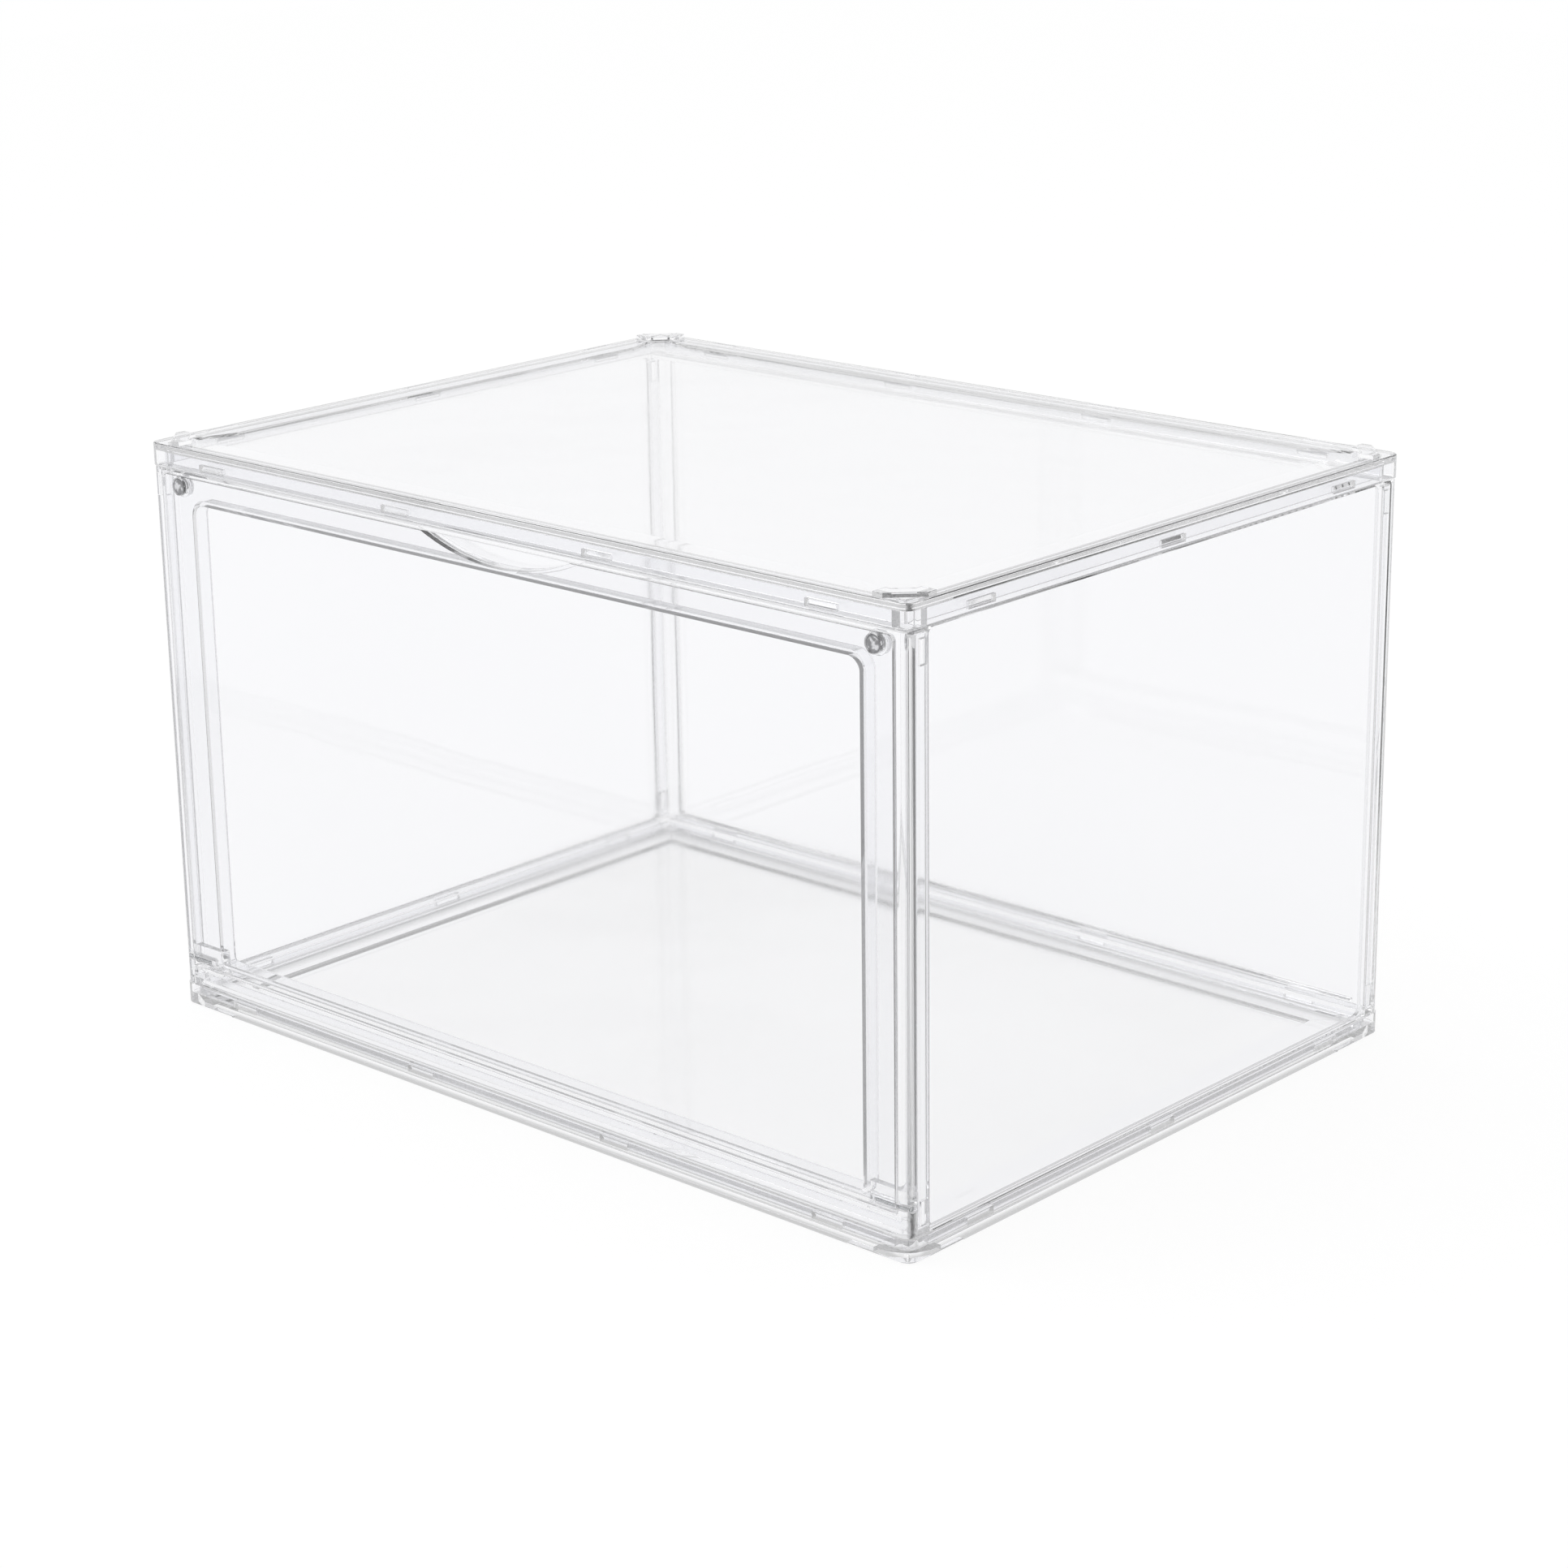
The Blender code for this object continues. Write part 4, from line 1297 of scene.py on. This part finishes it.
@dataclass
class Walls(Piece):
    """Side walls and back wall."""

    snap: SnapFit
    pane_land: float = 0.0004
    back_pane_radius: float = 0.0015
    back_border: float = 0.0090
    back_border_step: float = 0.0021

    def ring(self, half_width: float, low: float, high: float, radius: float, y: float,
             low_radius: float | None = None) -> Ring:
        """Upright outline of the front or back wall."""
        outline = rounded_rectangle((-half_width, low), (half_width, high), radius, low_radius)
        return [(x, y, z) for x, z in outline]

    def return_rings(self, sign: int) -> list[Ring]:
        """Rings round the outside of a return, from its free edge to the start of the flat face.

        Args:
            sign: 1 at the back, -1 at the front.

        Returns:
            The rings.
        """
        case = self.case
        rings = [self.ring(case.wall_x, case.wall_low, case.wall_high, case.edge_round,
                           sign * case.return_end)]
        bend = arc((case.wall_x - case.wall_radius, case.wall_y - case.wall_radius),
                   case.wall_radius, 0, 90, CORNER_STEPS)
        return rings + [self.ring(x, case.wall_low, case.wall_high, case.edge_round, sign * y)
                        for x, y in bend]

    def tongues(self, sign: int) -> Solid:
        """Upper and lower tongue of the front or back wall.

        Args:
            sign: 1 at the back, -1 at the front.

        Returns:
            The two tongues.
        """
        case = self.case
        half = case.wall_x - case.wall_radius - case.tongue_end_gap
        outer = sign * (case.half_depth - case.tongue_outer)
        inner = sign * (case.half_depth - case.tongue_inner)
        solid = Solid().box((-half, inner, case.wall_high - case.tongue_root),
                            (half, outer, case.tongue_high))
        return solid.box((-half, inner, case.tongue_low),
                         (half, outer, case.wall_low + case.tongue_root))

    def clip_on(self, panel: bpy.types.Object, sign: int) -> None:
        """Add tongues, tabs and hook windows to the front or back wall.

        Args:
            panel: the wall.
            sign: 1 at the back, -1 at the front.
        """
        combine(panel, self.tongues(sign), Operation.JOIN)
        combine(panel, Solid().take(*self.snap.tabs(1 if sign > 0 else 0)), Operation.JOIN)
        windows = [self.snap.upright_pair(self.snap.hook_window(), side, sign) for side in (-1, 1)]
        combine(panel, Solid().take(*windows), Operation.CUT)

    def build_back(self) -> None:
        """Back wall: a pane in a thicker border, with returns round both upright corners."""
        case = self.case
        low, high = case.wall_low + case.return_wall, case.wall_high - case.return_wall
        half = case.wall_x - case.return_wall
        face = case.wall_y - case.pane_thickness
        pane, land = half - self.back_border, self.pane_land
        step = face - self.back_border_step
        slope = case.step_slope / 2
        radius = self.back_pane_radius
        rings = [self.ring(pane, low + land + slope, high - land - slope, radius, face),
                 self.ring(pane + slope, low + land, high - land, radius, step),
                 self.ring(half, low, high, case.edge_round, step),
                 self.ring(half, low, high, case.edge_round, case.return_end)]
        panel = Solid().rings(rings + self.return_rings(1)).shown("back_wall_moulding")
        self.clip_on(panel, 1)
        self.mould(panel, Body.CASE, "back_panel")

    def build_side(self, sign: int, side: str) -> None:
        """Side wall: a pane in a border, with a tongue on all four edges.

        Args:
            sign: 1 on the right, -1 on the left.
            side: name of that side.
        """
        case = self.case
        face = sign * case.wall_x
        outer = sign * (case.half_width - case.tongue_outer)
        inner = sign * (case.half_width - case.tongue_inner)
        flush = case.return_end - case.seat_gap
        narrow = flush - case.seat_gap
        reach = case.return_end + case.side_reach
        low = case.wall_low + case.return_wall + case.seat_gap
        high = case.wall_high - case.return_wall - case.seat_gap
        right = [(narrow, case.tongue_low), (narrow, low), (reach, low), (reach, high),
                 (narrow, high), (narrow, case.tongue_high)]
        outline = right + [(-y, z) for y, z in reversed(right)]
        panel = Solid().prism(outline, inner, outer, Axis.X).shown(f"side_wall_{side}_moulding")
        skin = rounded_rectangle((-flush, case.wall_low), (flush, case.wall_high), case.edge_round)
        combine(panel, Solid().prism(skin, outer - sign * case.tongue_thickness / 3, face, Axis.X),
                Operation.JOIN)
        tabs = self.snap.tabs(2 if sign > 0 else 3)
        hooks = [self.snap.upright_pair(self.snap.hook(), sign, end) for end in (-1, 1)]
        combine(panel, Solid().take(*tabs, *hooks), Operation.JOIN)
        border = self.pane_land + case.step_slope / 2
        rings = []
        for depth, grow in ((face - sign * case.pane_thickness, 0.0),
                            (inner - sign * CLEAR, case.step_slope / 2)):
            pane = rounded_rectangle(
                (-flush + border - grow, case.wall_low + border - grow),
                (flush - border + grow, case.wall_high - border + grow), case.pane_radius)
            rings.append([(depth, y, z) for y, z in pane])
        combine(panel, Solid().rings(rings), Operation.CUT)
        self.mould(panel, Body.CASE, f"side_panel_{side}")


@dataclass
class DoorFrame(Walls):
    """Open front wall with a rebate, a scoop, magnet cups and hinge blocks."""

    fit: DoorFit = field(kw_only=True)
    opening_side: float = 0.0210
    opening_top: float = 0.0205
    opening_bottom: float = 0.0194
    opening_radius: float = 0.0050
    opening_low_radius: float = 0.0016
    flange: float = 0.0020
    block_wall: float = 0.0024
    scoop_depth: float = 0.0030
    scoop_wall: float = 0.0012
    scoop_top: float = 0.0010
    cup_wall: float = 0.0008
    pocket_ledge: float = 0.00035

    def segment(self, radius: float, level: float) -> Outline:
        """Part of a circle about the notch's centre that lies below a level."""
        reach = math.degrees(math.asin((self.fit.notch_centre - level) / radius))
        return arc((0, self.fit.notch_centre), radius, 180 + reach, 360 - reach, NOTCH_STEPS)

    def rail_rings(self) -> list[Ring]:
        """Rings of the rail from its outside round into the opening and back behind the flange.

        Returns:
            The rings.
        """
        case, fit = self.case, self.fit
        lining = case.return_wall
        x = case.half_width - self.opening_side
        high = case.height - self.opening_top
        low = self.opening_bottom
        rebate = (fit.rebate_x, fit.rebate_bottom, fit.rebate_high, fit.radius + case.seat_gap)
        opening = (x, low, high, self.opening_radius)
        behind = (x + lining, low - lining, high + lining, self.opening_radius + lining)
        inside = (case.wall_x - lining, case.wall_low + lining, case.wall_high - lining,
                  case.edge_round)
        flange_back = fit.rebate_back + self.flange
        end = -case.return_end
        small = self.opening_low_radius
        rings = self.return_rings(-1)
        for shape, y, low_radius in (
                (rebate, fit.front, SHARP), (rebate, fit.rebate_back, SHARP),
                (opening, fit.rebate_back, small), (opening, end, small),
                (behind, end, small + lining), (behind, flange_back, small + lining),
                (inside, flange_back, None), (inside, end, None)):
            rings.append(self.ring(*shape, y, low_radius))
        return rings

    def build(self) -> None:
        """Build the frame and put it in its place."""
        case, fit = self.case, self.fit
        rail = Solid().rings(self.rail_rings(), closed=True).shown("front_frame_moulding")
        flange_back = fit.rebate_back + self.flange
        root = flange_back - self.flange / 2
        scoop_floor = fit.rebate_back + self.scoop_depth
        cup_floor = fit.rebate_back + fit.magnet_shy + fit.frame_magnet + case.seat_gap
        knuckle = fit.knuckle_radius + case.seat_gap
        block_end = fit.hinge_y + knuckle + self.block_wall
        block_inner = fit.door_x - fit.knuckle_length - case.seat_gap - self.block_wall
        block_outer = case.half_width - case.tongue_inner - case.seat_gap
        half_long, half_high = (block_outer - block_inner) / 2, knuckle + self.block_wall
        pocket_end = fit.rebate_x - self.pocket_ledge
        pocket_half = (pocket_end - fit.door_x + fit.knuckle_length + case.seat_gap) / 2
        bore_half = (fit.rebate_side + 2 * CLEAR) / 2
        bed, bore = fit.magnet_radius + case.seat_gap, fit.pin_radius + fit.pin_clearance
        twice = self.snap.row.twice
        self.clip_on(rail, -1)

        bay = Solid().prism(self.segment(fit.notch_radius + self.scoop_wall,
                                         case.wall_high - case.return_wall / 2),
                            root, scoop_floor + self.scoop_wall, Axis.Y)
        cups = twice(Solid().rod(bed + self.cup_wall, root, cup_floor + self.cup_wall, Axis.Y),
                     fit.magnet_x, 0, fit.magnet_z)
        blocks = twice(Solid().block(half_long, root, block_end, half_high),
                       (block_outer + block_inner) / 2, 0, fit.hinge_z)
        for extra in (bay, cups, blocks):
            combine(rail, extra, Operation.JOIN)

        scoop = Solid().prism(self.segment(fit.notch_radius, fit.rebate_high - self.scoop_top),
                              fit.back, scoop_floor, Axis.Y)
        beds = twice(Solid().rod(bed, fit.back, cup_floor, Axis.Y), fit.magnet_x, 0, fit.magnet_z)
        pockets = twice(Solid().rod(knuckle, -pocket_half, pocket_half, Axis.X),
                        pocket_end - pocket_half, fit.hinge_y, fit.hinge_z)
        bores = twice(Solid().rod(bore, -bore_half, bore_half, Axis.X),
                      fit.rebate_x - CLEAR + bore_half, fit.hinge_y, fit.hinge_z)
        for cut in (scoop, beds, pockets, bores):
            combine(rail, cut, Operation.CUT)
        self.mould(rail, Body.CASE, "front_frame")


@dataclass
class Door(Piece):
    """Flush door with a finger notch, its magnets and its hinge pins."""

    fit: DoorFit
    row: Row
    notch_fillet: float = 0.0015
    metal_edge: float = 0.0002

    def outline(self) -> Outline:
        """Door seen from the front: round upper corners and a moon-shaped finger notch.

        Returns:
            The outline.
        """
        fit, fillet = self.fit, self.notch_fillet
        corner = (fit.door_x - fit.radius, fit.door_high - fit.radius)
        level = fit.door_high - fillet
        across = math.sqrt((fit.notch_radius + fillet) ** 2 - (level - fit.notch_centre) ** 2)
        lean = math.degrees(math.atan2(fit.notch_centre - level, across))
        right = [(fit.door_x, fit.hinge_z)]
        right += arc(corner, fit.radius, 0, 90, CORNER_STEPS)
        right += arc((across, level), fillet, 90, 180 - lean, FILLET_STEPS)
        moon = arc((0, fit.notch_centre), fit.notch_radius, -lean, -180 + lean, NOTCH_STEPS)
        return right + moon[1:-1] + [(-x, z) for x, z in reversed(right)]

    def build_leaf(self) -> None:
        """Build the door's leaf with its knuckles and pockets."""
        fit = self.fit
        gap = self.case.seat_gap
        leaf = Solid().prism(self.outline(), fit.front, fit.back, Axis.Y).shown("door_moulding")
        half = (fit.knuckle_length - gap) / 2
        knuckles = self.row.twice(Solid().rod(fit.knuckle_radius, -half, half, Axis.X),
                                  fit.door_x - gap - half, fit.hinge_y, fit.hinge_z)
        combine(leaf, knuckles, Operation.JOIN)
        half = (fit.pin_reach + gap + CLEAR) / 2
        bores = self.row.twice(Solid().rod(fit.pin_radius + fit.pin_clearance, -half, half, Axis.X),
                               fit.door_x + CLEAR - half, fit.hinge_y, fit.hinge_z)
        combine(leaf, bores, Operation.CUT)
        bed = fit.back - fit.magnet_shy - fit.door_magnet - gap
        beds = self.row.twice(Solid().rod(fit.magnet_radius + gap, bed, fit.back + CLEAR, Axis.Y),
                              fit.magnet_x, 0, fit.magnet_z)
        combine(leaf, beds, Operation.CUT)
        self.mould(leaf, Body.DOOR, "door")

    def place_pair(self, form: Solid, place: Point, body: Body, slot: Slot, name: str) -> None:
        """Put two turned parts left and right, shaded smooth over their edge breaks.

        Args:
            form: one of them, about its own middle.
            place: where the middle of the right one goes.
            body: body that they ride on.
            slot: slot that they take their finish from.
            name: name of one of them, without its side.
        """
        pair = self.row.pair(f"{name}s", form, place, self.finishes[slot])
        pair.data.shade_smooth()
        pair.data.set_sharp_from_angle(angle=TURNED_ANGLE)
        self.place(pair, body, slot, f"{name}_left", f"{name}_right")

    def build_magnets(self) -> None:
        """Build the two magnets of the door and the two of the frame."""
        fit = self.fit
        shut, rest = fit.back - fit.magnet_shy, fit.rebate_back + fit.magnet_shy
        for name, body, low, high in (
                ("door_magnet", Body.DOOR, shut - fit.door_magnet, shut),
                ("frame_magnet", Body.CASE, rest, rest + fit.frame_magnet)):
            disc = Solid().rod(fit.magnet_radius, low, high, Axis.Y, self.metal_edge)
            self.place_pair(disc, (fit.magnet_x, 0, fit.magnet_z), body, Slot.MAGNET, name)

    def build_pins(self) -> None:
        """Build the two hinge pins."""
        fit = self.fit
        inner, outer = fit.door_x - fit.pin_reach, self.case.wall_x - fit.pin_shy
        half = (outer - inner) / 2
        rod = Solid().rod(fit.pin_radius, -half, half, Axis.X, self.metal_edge)
        place = ((outer + inner) / 2, fit.hinge_y, fit.hinge_z)
        self.place_pair(rod, place, Body.CASE, Slot.PIN, "hinge_pin")


def main() -> None:
    """Build the studio and the case."""
    logging.basicConfig(level=logging.INFO, format="%(message)s")
    case, fit = CaseSizes(), DoorFit()
    Studio(case).build()
    finishes = {Slot.CLEAR: ClearPlastic().make(), Slot.MAGNET: PlatedNickel(fit).make(),
                Slot.PIN: DrawnSteel().make()}
    row = Row()
    snap = SnapFit(case, row)
    trays = Trays(case, finishes, snap, FourCorners())
    trays.build_tray()
    trays.build_lid()
    walls = Walls(case, finishes, snap)
    walls.build_side(-1, "left")
    walls.build_side(1, "right")
    walls.build_back()
    DoorFrame(case, finishes, snap, fit=fit).build()
    door = Door(case, finishes, fit, row)
    door.build_leaf()
    door.build_magnets()
    door.build_pins()


if __name__ == "__main__":
    main()
